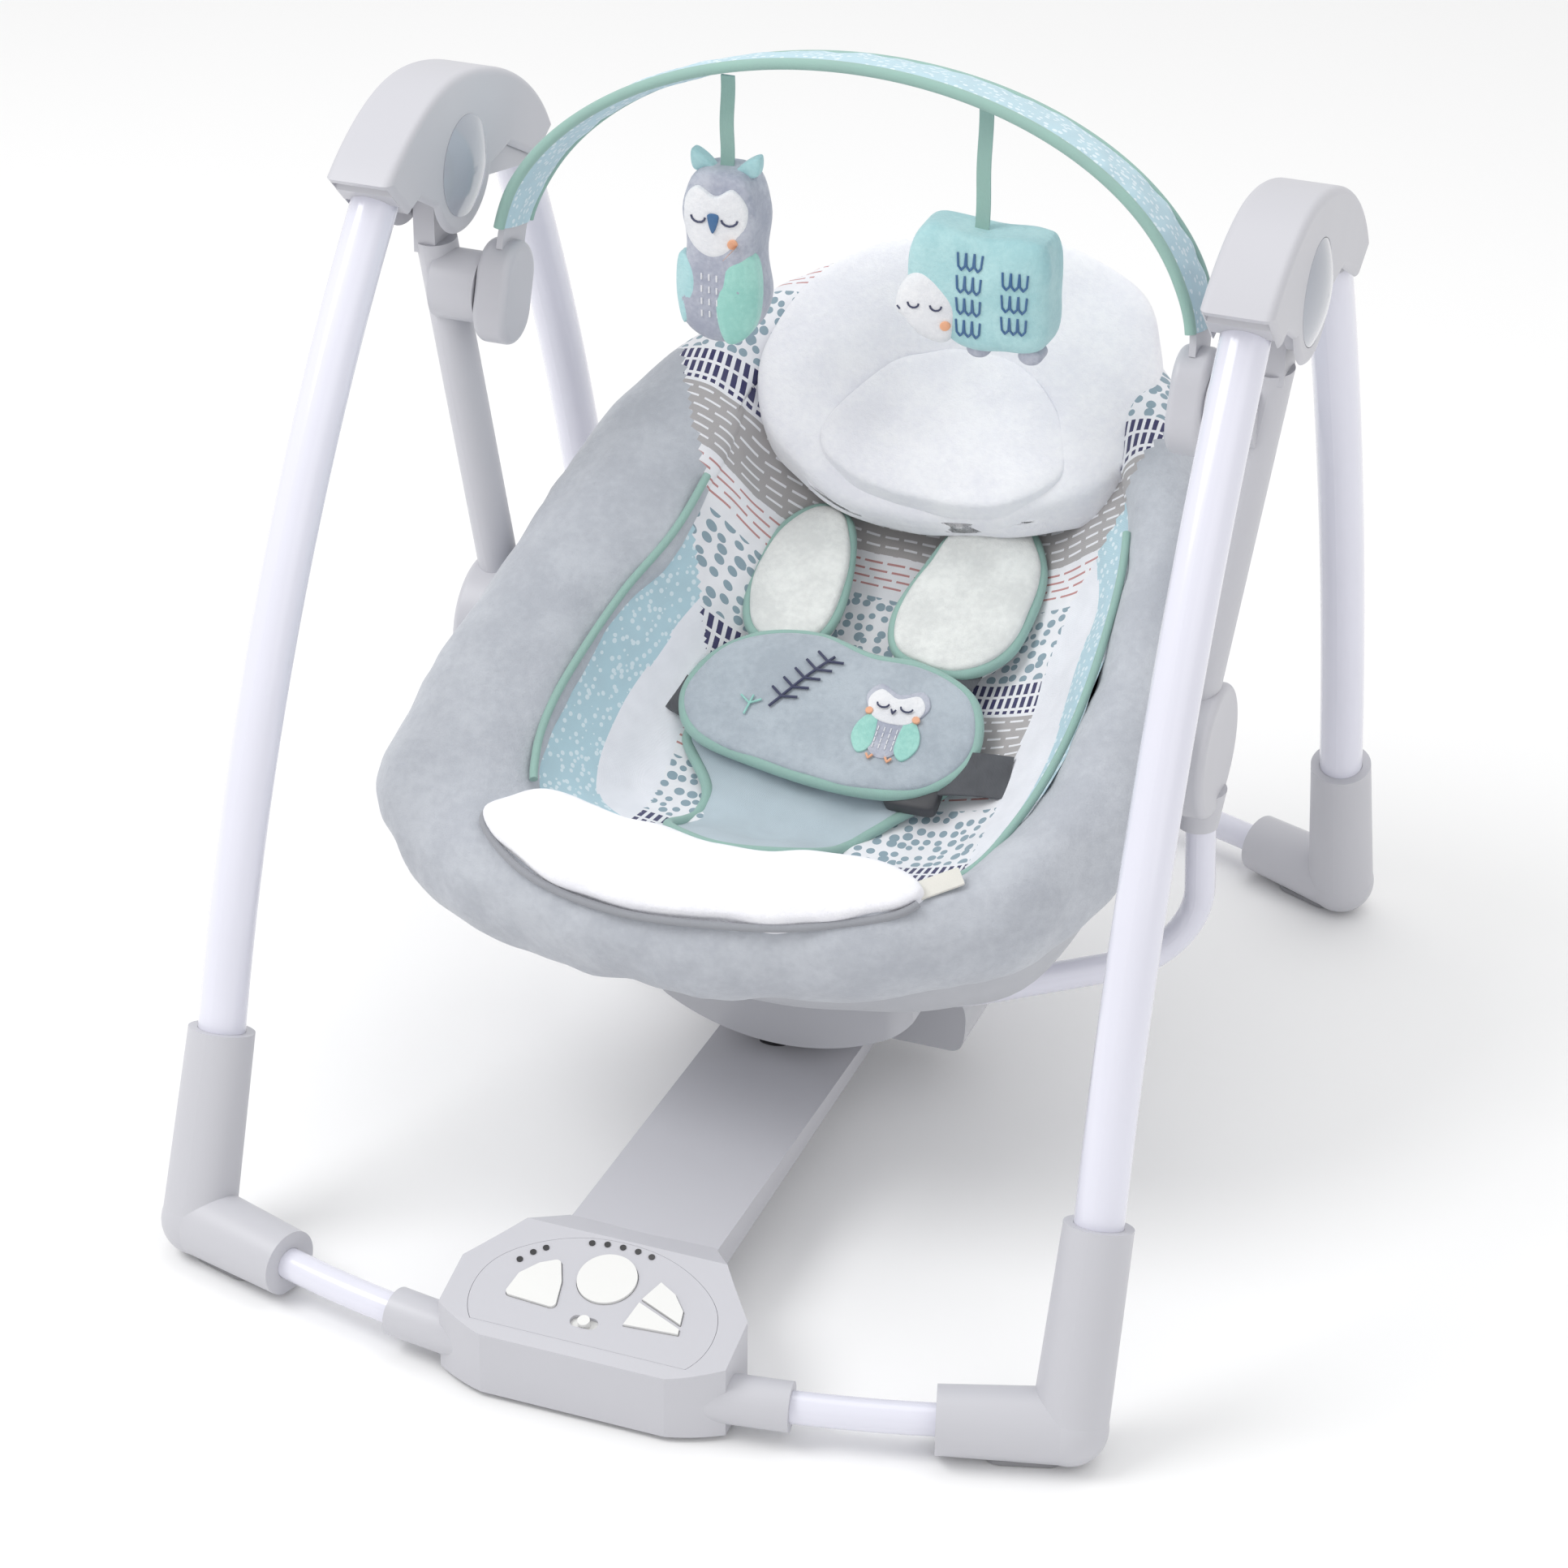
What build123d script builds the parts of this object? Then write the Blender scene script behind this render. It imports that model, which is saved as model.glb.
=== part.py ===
from build123d import *
import os
from math import atan2, cos, degrees, radians, sin, sqrt, tan

# Portable baby swing on an A-frame, with a drive beam on the floor under the seat.
# Millimetres.  +X is the right-hand side seen from the front, -Y is the front, +Z is up.
# The origin is on the floor, under the middle of the base.

# ---------------------------------------------------------------- driving dimensions
hub_x = 262.5              # middle plane of each hub, from the middle of the swing
hub_y = 20.0               # swing axis
hub_z = 570.0
hub_half = 21.0            # half the thickness of a hub housing
hub_wall = 3.0
hub_lobe_r = 42.0          # round lobe of the housing under the swing axis
axle_d = 10.0
cap_r = 31.0               # inner pivot cap and outer release button
cap_rise = 6.5
button_skirt = 4.5
release_travel = 3.0

leg_d = 28.5               # steel leg tube
leg_wall = 1.2
cross_d = 19.0             # steel floor tubes
cross_wall = 1.2
front_leg_x_top = 263.0
front_foot_x = 272.0
front_leg_top = (-40.0, 592.0)      # (y, z) of the tube end inside the hub
front_leg_bottom = (-296.0, 95.0)
front_leg_bow = 37.0
rear_leg_x_top = 263.0
rear_foot_x = 266.0
rear_leg_top = (132.0, 546.0)
rear_leg_bottom = (291.6, 95.0)
rear_leg_bow = 18.0

foot_d = 40.0
heel_d = 44.0              # round heel where a foot's two sleeves meet
foot_inner_x = 201.0       # where a floor tube enters its foot
foot_sleeve_top = 128.0    # height of the rim of a foot's leg sleeve
tube_seat = 16.0           # length of floor tube inside a foot
floor_tube_z = 22.0
front_tube_y = -350.0
front_tube_bow = 30.0
rear_tube_y = 346.0
rear_tube_bow = 42.5
pad_thick = 3.0
pad_length = 46.0
pad_width = 20.0

fit_gap = 0.15             # clearance of a pushed-in tube
run_gap = 0.05             # radial clearance of a turning pin
soft_gap = 0.4             # clearance of soft parts

arm_top_z = 521.0
arm_top_x = 262.0
arm_bottom_x = 224.0
arm_bottom_y = 30.0
arm_half_x = 12.0
arm_half_y = 15.5
arm_wall = 2.2
arm_head_r = 24.0
arm_head_x = (257.0, 271.0)
knuckle_x = (246.0, 255.5)
knuckle_r = 22.0
knuckle_neck = 12.0        # half the width of the knuckle's neck

recline_y = 28.0
recline_z = 264.0
disc_r = 42.0
disc_x = (211.0, 245.0)
recline_pin_d = 16.0
pin_reach = 12.0            # length of a recline pin inside its disc

seat_tube_d = 19.0
seat_tube_wall = 1.2
seat_tube_x = 232.0
seat_tube_top = (36.0, 250.0)
seat_tube_corner = (62.0, 101.0)
seat_tube_front = (-50.0, 99.0)     # (y, z) where the tube enters the drive housing
seat_tube_front_x = 92.0

housing_half_x = 86.0
housing_y = (-76.0, 12.0)
housing_bottom = 60.0
housing_end_bottom = 88.0
housing_top = 126.0
housing_wall = 2.4
housing_split = 101.0
magnet_size = (60.0, 36.0, 8.0)

seat_half_w = 232.0        # at the foot end, where the seat is broadest
seat_head_w = 178.0        # at the head end
seat_v = (-272.0, 246.0)   # foot end and head end, along the seat from its middle
seat_tilt = 30.5
seat_y = 20.0
seat_z = 345.0
ring_plan = (202.0, 162.0, -246.0, 234.0, 120.0, 145.0)     # plan of the seat's tube ring
ring_d = 14.0
lug_x = 179.0              # plates that carry the recline pins, in line with the ring
pocket_x = 203.0           # the seat's sides are cut back to here, round the recline discs
ring_depth = 24.0
head_pad = (0, 152, -58, (212, 112, 56), 54)     # middle across, along and deep; size; corner
leg_pad = (0, -220, -20, (262, 56, 42), 26)
waist_pad = (0, -54, -88, (190, 128, 18), 40)
shoulder_pad = (48, 52, -90.5, (44, 82, 12), 18)
crotch_pad = (0, -150, -90.5, (84, 62, 12), 18)

beam_half_top = 46.0
beam_half_bottom = 40.0
beam_y = (-302.0, 8.0)
beam_top_front = 57.0
beam_top_rear = 47.0
beam_crown = 3.0
beam_bottom = 25.0
beam_wall = 2.5
beam_seam_front = 44.0
beam_seam_rear = 37.0

pod_half_x = 121.0         # end of the sleeves round the front floor tube
pod_y = (-398.0, -292.0)
pod_flank = 88.0
pod_bottom = 3.0
pod_seam = 17.0
pod_wall = 2.6
roof_thick = 5.2
cover_seam_y = -300.0      # seam between the pod cover and the beam cover
sleeve_r = 14.5
screw_r = 1.5
post_r = 4.0
pod_screws = [(74.0, -359.0)]
beam_screws = [(30.0, -200.0), (30.0, -90.0)]

panel_tilt = 16.3
panel_origin = (0.0, -358.0, 56.0)
panel_thick = 2.5
key_rise = 1.6
key_gap = 0.4
key_land = 2.8             # strip of panel between the two keys on the right
round_key_r = 17.5
round_key_v = 14.0
slide_spot = (-1.5, -18.0)
slide_slot = (17.0, 8.0)
light_r = 1.9
light_spots = [(-54.5, 14.0), (-49.0, 21.0), (-43.0, 26.0), (-18.5, 36.5), (-9.5, 38.0),
               (0.0, 38.4), (9.5, 38.0), (18.5, 36.5)]

battery_y = -341.0
battery_door_size = (104.0, 54.0)
cell_d = 26.0
cell_length = 50.0
coil_y = -33.0
coil_size = (56.0, 12.0)
window_spot = (-6.0, -64.0)
window_size = (9.0, 4.5)

head_half_x = 97.0
head_y = (8.0, 62.0)
support_d = 16.0
support_x = 76.0
support_y = 172.0

arch_half = 216.0
arch_rise = 137.0
arch_tilt = 12.5
arch_root = (27.0, 520.0)
arch_band = (34.0, 4.0)
cover_band = (50.0, 8.0)
cover_start = 14.0
socket_x = (206.0, 228.0)
socket_w = 44.0
socket_centre = (17.5, 494.0)
socket_length = 64.0
socket_tilt = 18.6
stub_r = 6.0
stub_length = 9.0
boss_r = 22.0

owl_x = -86.0
owl_strap = 56.0
owl_size = (50.0, 44.0, 108.0)
hedgehog_x = 74.0
hedgehog_strap = 72.0
strap_gap = 2.4            # clearance of a toy's strap under the bow's cover
hedgehog_size = (96.0, 46.0, 78.0)

OUT = "parts"
os.makedirs(OUT, exist_ok=True)
NODES = {}


def keep(name, shape):
    """Keep one node, as a single solid or a group of separate solids."""
    solids = list(shape.solids())
    NODES[name] = solids[0] if len(solids) == 1 else Compound(children=solids)


def left_of(shape):
    return mirror(shape, about=Plane.YZ)


def pair(name, shape):
    keep(name + "_right", shape)
    keep(name + "_left", left_of(shape))


def both(shape):
    return Compound(children=list(shape.solids()) + list(left_of(shape).solids()))


def x_cylinder(radius, x_from, x_to, y, z):
    """A cylinder along X between two X positions."""
    disc = Plane.YZ.offset(x_from) * Pos(y, z) * Circle(radius)
    return extrude(disc, amount=x_to - x_from, dir=(1, 0, 0))


def yz_plate(outline, x_from, x_to):
    """A plate of a (y, z) outline between two X positions."""
    face = make_face(Plane.YZ.offset(x_from) * outline)
    return extrude(face, amount=x_to - x_from, dir=(1, 0, 0))


def swept(path, radius):
    """A round bar along a path."""
    start = Plane(origin=path @ 0, z_dir=path % 0)
    return sweep(start * Circle(radius), path=path)


def swept_tube(path, radius, wall):
    return swept(path, radius) - swept(path, radius - wall)


def bowed(start, end, bow, outward):
    """An arc between two points, its middle pushed out by bow along outward."""
    middle = (Vector(*start) + Vector(*end)) / 2 + Vector(*outward).normalized() * bow
    return ThreePointArc(Vector(*start), middle, Vector(*end))


# ---------------------------------------------------------------- legs, feet, floor tubes
def leg_path(x_top, x_bottom, top, bottom, bow):
    start = (x_top, top[0], top[1])
    end = (x_bottom, bottom[0], bottom[1])
    drop = top[1] - bottom[1]
    reach = bottom[0] - top[0]
    outward = (0, drop, reach) if reach > 0 else (0, -drop, -reach)
    return bowed(start, end, bow, outward)


def floor_tube_path(y_end, bow, x_end):
    """A floor tube in plan: an arc that bows out to the front or the back."""
    side = 1 if y_end > 0 else -1
    return ThreePointArc((-x_end, y_end, floor_tube_z), (0, y_end + side * bow, floor_tube_z),
                         (x_end, y_end, floor_tube_z))


def foot_corner(y_end, bow, x_foot):
    """Where a foot's floor arm, in line with its tube's end, meets the leg's plane."""
    radius = (foot_inner_x ** 2 + bow ** 2) / (2 * bow)
    slope = foot_inner_x / sqrt(radius ** 2 - foot_inner_x ** 2)
    side = 1 if y_end > 0 else -1
    return (x_foot, y_end - side * (x_foot - foot_inner_x) * slope, floor_tube_z)


def foot(leg, tube, y_end, bow, x_foot):
    """A boot: a sleeve round the leg's end, a round heel, and a sleeve round the floor tube's end."""
    drop = (leg @ 0).Z - (leg @ 1).Z
    top = leg @ (1 - (foot_sleeve_top - (leg @ 1).Z) / drop)
    corner = Vector(*foot_corner(y_end, bow, x_foot))
    toe = Vector(foot_inner_x, y_end, floor_tube_z)
    body = taper(top, corner, foot_d / 2, heel_d / 2) + taper(toe, corner, foot_d / 2, heel_d / 2)
    body += Pos(*corner) * Sphere(heel_d / 2 + 0.5)
    body -= swept(leg, leg_d / 2 + fit_gap)
    body -= swept(tube, cross_d / 2 + fit_gap)
    body -= Pos(x_foot, y_end, pad_thick - heel_d) * Box(heel_d * 8, heel_d * 8, 2 * heel_d)
    return body.solids().sort_by(SortBy.VOLUME)[-1]


def taper(start, end, r_start, r_end):
    """A straight round bar between two points, which changes radius along its length."""
    along = end - start
    bar = Cone(r_start, r_end, along.length, align=(Align.CENTER, Align.CENTER, Align.MIN))
    return Plane(origin=start, z_dir=along) * bar


def foot_pad(y_end, bow, x_foot):
    corner = foot_corner(y_end, bow, x_foot)
    turn = degrees(atan2(corner[1] - y_end, x_foot - foot_inner_x))
    place = Pos(x_foot - pad_length / 2, corner[1] + (y_end - corner[1]) / 3, 0)
    return place * Rot(0, 0, turn) * extrude(SlotOverall(pad_length, pad_width), amount=pad_thick)


def legs_and_feet():
    tube_x = foot_inner_x + tube_seat
    front_leg = leg_path(front_leg_x_top, front_foot_x, front_leg_top, front_leg_bottom, front_leg_bow)
    rear_leg = leg_path(rear_leg_x_top, rear_foot_x, rear_leg_top, rear_leg_bottom, rear_leg_bow)
    for name, leg, y_end, bow, x_foot in (
            ("front", front_leg, front_tube_y, front_tube_bow, front_foot_x),
            ("rear", rear_leg, rear_tube_y, rear_tube_bow, rear_foot_x)):
        radius = (foot_inner_x ** 2 + bow ** 2) / (2 * bow)
        side = 1 if y_end > 0 else -1
        y_tube_end = y_end + side * (sqrt(radius ** 2 - tube_x ** 2) - sqrt(radius ** 2 - foot_inner_x ** 2))
        tube = floor_tube_path(y_tube_end, side * (y_end + side * bow - y_tube_end), tube_x)
        pair(name + "_leg", swept_tube(leg, leg_d / 2, leg_wall))
        pair(name + "_foot", foot(leg, tube, y_end, bow, x_foot))
        keep(name + "_cross_tube", swept_tube(tube, cross_d / 2, cross_wall))
        keep(name + "_foot_pads", both(foot_pad(y_end, bow, x_foot)))
    return front_leg, rear_leg


# ---------------------------------------------------------------- hubs
def lobe_point(angle):
    return (hub_y + hub_lobe_r * cos(radians(angle)), hub_z + hub_lobe_r * sin(radians(angle)))


front_lip = (hub_y - 104, hub_z + 22)
rear_lip = (hub_y + 133, hub_z - 19)
crown = [(hub_y - 70, hub_z + 43), (hub_y - 20, hub_z + 57), (hub_y + 32, hub_z + 51),
         (hub_y + 82, hub_z + 31), (hub_y + 115, hub_z + 6)]


def hub_outline():
    top = Spline([front_lip] + crown + [rear_lip])
    under_rear = Polyline(rear_lip, (hub_y + 108, hub_z - 32), (hub_y + 66, hub_z - 10), lobe_point(-19))
    lobe = ThreePointArc(lobe_point(-19), lobe_point(-90), lobe_point(-161))
    mouth = Polyline(lobe_point(-161), (hub_y - 62, hub_z - 1), (hub_y - 76, hub_z - 5), front_lip)
    return top + under_rear + lobe + mouth


def hub_cavity_outline():
    """The housing's inside: under the crown by one wall, and open below and at both leg mouths."""
    inset = [(y, z - hub_wall * 1.25) for y, z in crown]
    start = (front_lip[0] - 8, front_lip[1] - 14)
    end = (rear_lip[0] + 5, rear_lip[1] - 11)
    top = Spline([start] + inset + [end])
    below = Polyline(end, (end[0], hub_z - 90), (start[0], hub_z - 90), start)
    return top + below


def hubs(front_leg):
    middle, outer, inner = hub_x, hub_x + hub_half, hub_x - hub_half
    leg_bar = swept(front_leg, leg_d / 2)
    saddle_y = (hub_y - 94, hub_y - 46)

    def shell(x_from, x_to, x_cut_from, x_cut_to):
        body = yz_plate(hub_outline(), x_from, x_to)
        face_x = x_to if x_to > middle else x_from
        rim = [e for e in body.edges() if abs(e.center().X - face_x) < 0.01]
        body = fillet(rim, 5.0)
        body -= yz_plate(hub_cavity_outline(), x_cut_from, x_cut_to)
        grip = Pos((x_cut_from + x_cut_to) / 2, sum(saddle_y) / 2, hub_z + 16)
        block = grip * Box(x_cut_to - x_cut_from, saddle_y[1] - saddle_y[0], 26)
        block &= yz_plate(hub_outline(), x_cut_from, x_cut_to)
        return (body + block) - leg_bar

    outer_shell = shell(middle, outer, middle, outer - hub_wall)
    well_floor = outer - button_skirt - release_travel - 3.5
    outer_shell += x_cylinder(cap_r + 3, well_floor, outer - hub_wall / 2, hub_y, hub_z)
    outer_shell -= x_cylinder(cap_r + key_gap, well_floor + 2.5, outer + 1, hub_y, hub_z)
    outer_shell -= x_cylinder(axle_d / 2, middle, outer, hub_y, hub_z)
    inner_shell = shell(inner, middle, inner + hub_wall, middle)
    inner_shell -= x_cylinder(axle_d / 2, inner, middle, hub_y, hub_z)
    pair("hub_outer_shell", outer_shell)
    pair("hub_inner_shell", inner_shell)
    keep("hub_axles", both(x_cylinder(axle_d / 2, inner + 0.5, well_floor + 2.5, hub_y, hub_z)))
    keep("hub_pivot_caps", both(domed_cap(inner, inner - 0.5, -1)))
    pair("hub_release_button", domed_cap(outer - button_skirt, outer, 1))


def domed_cap(x_back, x_face, side):
    """A round piece on the swing axis, from x_back to a shallow dome that rises past x_face."""
    flat = Polyline((x_back, 0), (x_back, cap_r), (x_face, cap_r))
    radius = (cap_r ** 2 + cap_rise ** 2) / (2 * cap_rise)
    half_rise = sqrt(radius ** 2 - (cap_r / 2) ** 2) - (radius - cap_rise)
    dome = ThreePointArc((x_face, cap_r), (x_face + side * half_rise, cap_r / 2), (x_face + side * cap_rise, 0))
    profile = make_face(flat + dome + Line((x_face + side * cap_rise, 0), (x_back, 0)))
    return Pos(0, hub_y, hub_z) * revolve(profile, axis=Axis.X)


def knuckles(rear_leg):
    """The rear leg's pivot piece: a ring on the axle, a neck, and a spigot inside the tube."""
    top = rear_leg @ 0
    along = rear_leg % 0
    ring = x_cylinder(knuckle_r, knuckle_x[0], knuckle_x[1], hub_y, hub_z)
    reach = Vector(0, top.Y - hub_y, top.Z - hub_z)
    across = Vector(0, -reach.Z, reach.Y).normalized() * knuckle_neck
    a, b = Vector(0, hub_y, hub_z), Vector(0, top.Y, top.Z)
    corners = [a + across, b + across, b - across, a - across]
    neck = yz_plate(Polyline([(c.Y, c.Z) for c in corners], close=True), *knuckle_x)
    collar_path = Line(top - along * 16, top)
    spigot_path = Line(top - along * 1, top + along * 38)
    body = ring + neck + swept(collar_path, leg_d / 2)
    body += swept(spigot_path, leg_d / 2 - leg_wall - 0.5)
    body -= swept_tube(Line(top, top + along * 40), leg_d / 2 + 2, leg_wall + 2.4)
    body -= x_cylinder(axle_d / 2 + run_gap, knuckle_x[0] - 1, knuckle_x[1] + 1, hub_y, hub_z)
    keep("rear_knuckles", both(body.solids().sort_by(SortBy.VOLUME)[-1]))


# ---------------------------------------------------------------- swing arms
def arm_x(height):
    """The middle of an arm at a height, on its slant from the hub to the recline disc."""
    return arm_top_x + (arm_bottom_x - arm_top_x) * (arm_top_z - height) / (arm_top_z - recline_z)


def arm_bar(shrink, top, bottom):
    """An oval bar between two heights, with the arm's outside shrunk by a wall."""
    sections = []
    for height in (top, bottom):
        share = (arm_top_z - height) / (arm_top_z - recline_z)
        y = hub_y + (arm_bottom_y - hub_y) * share
        sections.append(Pos(arm_x(height), y, height) * Ellipse(arm_half_x - shrink, arm_half_y - shrink))
    return loft(sections)


def arms():
    """Each arm is an outer and an inner half shell, round a head that turns on the hub's axle."""
    x_split = sum(arm_head_x) / 2
    head = x_cylinder(arm_head_r, *arm_head_x, hub_y, hub_z)
    neck_height = hub_z - arm_top_z + 6
    neck = Pos(x_split, hub_y, hub_z - neck_height / 2) * Box(arm_head_x[1] - arm_head_x[0], 26, neck_height)
    bore = x_cylinder(axle_d / 2 + run_gap, arm_head_x[0] - 1, arm_head_x[1] + 1, hub_y, hub_z)
    bar = arm_bar(0, arm_top_z, recline_z + 6)
    hollow = arm_bar(arm_wall, arm_top_z - 14, recline_z + disc_r + 8)
    disc_room = x_cylinder(disc_r, disc_x[0] - 20, disc_x[1] + 5, recline_y, recline_z)
    body = head + neck + bar - bore - hollow - disc_room
    split_line = Polyline((x_split, hub_z + 40), (x_split, arm_top_z - 4), (arm_x(recline_z), recline_z),
                          (x_split + 60, recline_z), (x_split + 60, hub_z + 40), close=True)
    outer_zone = extrude(make_face(Plane.XZ.offset(-hub_y) * split_line), amount=60, both=True)
    boss_y, boss_z = socket_centre
    boss = x_cylinder(boss_r, socket_x[1] + soft_gap, arm_x(boss_z), boss_y, boss_z)
    boss -= arm_bar(arm_wall / 2, boss_z + 40, boss_z - 40)
    inner = (body - outer_zone) + (boss - outer_zone)
    inner -= x_cylinder(stub_r + run_gap, socket_x[1], socket_x[1] + stub_length + 0.5, boss_y, boss_z)
    keep("swing_arm_outer_shells", both((body & outer_zone).solids().sort_by(SortBy.VOLUME)[-1]))
    keep("swing_arm_inner_shells", both(inner.solids().sort_by(SortBy.VOLUME)[-1]))


def recline_discs():
    """The round housings at the seat's sides, which join arm, seat tube and recline pin."""
    disc = fillet(x_cylinder(disc_r, *disc_x, recline_y, recline_z).edges(), 5.0)
    y, z = seat_tube_top
    boot = Pos(seat_tube_x, y, recline_z - disc_r - 2) * Cone(seat_tube_d / 2 + 3, seat_tube_d / 2 + 7, 26)
    disc = disc + boot
    disc -= swept(seat_tube_path(), seat_tube_d / 2 + fit_gap)
    disc -= x_cylinder(recline_pin_d / 2 + run_gap, disc_x[0] - 1, disc_x[0] + pin_reach + 0.5,
                       recline_y, recline_z)
    keep("recline_discs", both(disc.solids().sort_by(SortBy.VOLUME)[-1]))


# ---------------------------------------------------------------- seat tube and drive housing
def seat_tube_path():
    top = (seat_tube_x, *seat_tube_top)
    corner = (seat_tube_x, *seat_tube_corner)
    front = (seat_tube_front_x, *seat_tube_front)
    centre_y = seat_tube_front[0] - 10
    points = [top, corner, front, (0, centre_y, seat_tube_front[1])]
    points += [(-x, y, z) for x, y, z in reversed(points[:-1])]
    return FilletPolyline(*points, radius=[48, 150, 260, 150, 48])


def seat_tube():
    keep("seat_tube", swept_tube(seat_tube_path(), seat_tube_d / 2, seat_tube_wall))


def housing_body(shrink):
    """The drive housing: flat on top, and round below like the keel of a shallow boat."""
    half, low, ends = housing_half_x - shrink, housing_bottom + shrink, housing_end_bottom + shrink
    top = housing_top - shrink
    keel = ThreePointArc((half, ends), (0, low), (-half, ends))
    sides = Polyline((-half, ends), (-half, top), (half, top), (half, ends))
    face = make_face(Plane.XZ.offset(-housing_y[0] - shrink) * (keel + sides))
    body = extrude(face, amount=housing_y[1] - housing_y[0] - 2 * shrink, dir=(0, 1, 0))
    return fillet(body.edges().filter_by(Axis.Z), 14.0 - shrink)


def drive_housing():
    """Upper and lower half of the housing, and the magnet on its bed in the keel."""
    middle_y = sum(housing_y) / 2
    outside, inside = housing_body(0), housing_body(housing_wall)
    bore = swept(seat_tube_path(), seat_tube_d / 2 + fit_gap)
    upper_room = Pos(0, middle_y, housing_split + 100) * Box(400, 400, 200)
    seat = housing_bottom + housing_wall + 2.0
    bed = Pos(0, middle_y, seat - 1) * Box(magnet_size[0], magnet_size[1], 6)
    lower = (outside - upper_room) - ((inside - upper_room) - bed) - bore
    keep("drive_housing_top", (outside & upper_room) - (inside & upper_room) - bore)
    keep("drive_housing_bottom", lower)
    keep("drive_magnet", Pos(0, middle_y, seat + 2 + magnet_size[2] / 2) * Box(*magnet_size))


# ---------------------------------------------------------------- toy bar and toys
def arch_point(x):
    rise = arch_rise * sqrt(1 - (x / arch_half) ** 2)
    lean = radians(arch_tilt)
    return Vector(x, arch_root[0] + rise * sin(lean), arch_root[1] + rise * cos(lean))


def arch_strip(width, thick, skip):
    """A flat strip bent to the arch, left out over a length at each end."""
    lean = radians(arch_tilt)
    plane = Plane(origin=(0, *arch_root), x_dir=(1, 0, 0), z_dir=(0, -cos(lean), sin(lean)))
    ring = Ellipse(arch_half + thick / 2, arch_rise + thick / 2)
    ring -= Ellipse(arch_half - thick / 2, arch_rise - thick / 2)
    ring -= Pos(0, skip - 150) * Rectangle(600, 300)
    return extrude(plane * ring, amount=width / 2, both=True)


def toy_bar():
    """A flat bow in a fabric cover, held at each end by a socket that turns in the arm's boss."""
    y, z = socket_centre
    core = arch_strip(*arch_band, 0)
    cover = arch_strip(*cover_band, cover_start) - arch_strip(*arch_band, 0)
    outline = Pos(y, z) * Rot(0, 0, 90 - socket_tilt) * SlotOverall(socket_length, socket_w)
    body = extrude(Plane.YZ.offset(socket_x[0]) * outline, amount=socket_x[1] - socket_x[0], dir=(1, 0, 0))
    body = fillet(body.edges(), 5.0)
    body += x_cylinder(stub_r, socket_x[1] - 1, socket_x[1] + stub_length, y, z)
    body -= core
    cover -= body
    keep("toy_bar_arch", core)
    keep("toy_bar_cover", (cover - left_of(body)).solids().sort_by(SortBy.VOLUME)[-1])
    keep("toy_bar_sockets", both(body.solids().sort_by(SortBy.VOLUME)[-1]))


def hanging_toy(name, x, strap, size):
    """A plush toy under a flat strap that swings on the toy bar."""
    top = arch_point(x)
    z = top.Z - cover_band[1] / 2 - strap_gap
    body = Pos(x, top.Y, z - strap - size[2] / 2 + 0.4) * scale(Sphere(0.5), by=size)
    keep(name + "_strap", Pos(x, top.Y, z - strap / 2) * Box(8, 1.6, strap) - body)
    keep(name + "_toy", body)


# ---------------------------------------------------------------- base: pod, beam, head
def beam_body(shrink, y_from, y_to):
    """The floor beam: a tapering bar with a crowned top."""
    sections = []
    for y in (y_from, y_to):
        share = (y - beam_y[0]) / (beam_y[1] - beam_y[0])
        top = beam_top_front + (beam_top_rear - beam_top_front) * share - shrink
        wide, low = beam_half_top - shrink, beam_half_bottom - shrink
        floor = beam_bottom + shrink
        crown_line = ThreePointArc((wide, top), (0, top + beam_crown), (-wide, top))
        rest = Polyline((-wide, top), (-low, floor), (low, floor), (wide, top))
        sections.append(make_face(Plane.XZ.offset(-y) * (crown_line + rest)))
    return loft(sections)


def pod_body(shrink, roof):
    """The pod at the beam's front: a plan with hollow flanks under a sloping roof."""
    front, rear = pod_y[0] + shrink, pod_y[1] - shrink
    flank = [(46 - shrink, rear), (58 - shrink, pod_y[1] - 18), (74 - shrink, pod_y[1] - 40),
             (pod_flank - shrink, pod_y[1] - 58)]
    nose = [(pod_flank - shrink, pod_y[0] + 14), (66 - shrink, front + 3)]
    right = Spline(flank) + Line(flank[-1], nose[0]) + Spline(nose + [(0, front)])
    plan = make_face(right + mirror(right, about=Plane.YZ) + Line(flank[0], (-flank[0][0], rear)))
    low = pod_bottom + shrink
    slope = tan(radians(panel_tilt))
    ridge = pod_y[1] - 24
    edge = pod_y[0] + 7
    height = panel_origin[2] - roof
    profile = Polyline((front, low), (front, height - slope * (panel_origin[1] - edge) - 3),
                       (edge, height - slope * (panel_origin[1] - edge)),
                       (ridge, height + slope * (ridge - panel_origin[1])),
                       (rear, height + 3), (rear, low), close=True)
    block = Pos(0, 0, low) * extrude(plan, amount=120, dir=(0, 0, 1))
    return block & yz_plate(profile, -pod_half_x, pod_half_x)


def panel_solid(outline, low, high):
    """A solid on the sloping panel, from an outline in its plane and two heights over it."""
    normal = Vector(0, -sin(radians(panel_tilt)), cos(radians(panel_tilt)))
    plane = Plane(origin=Vector(*panel_origin) + normal * low, x_dir=(1, 0, 0), z_dir=normal)
    return extrude(plane * outline, amount=high - low, dir=normal)


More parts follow.
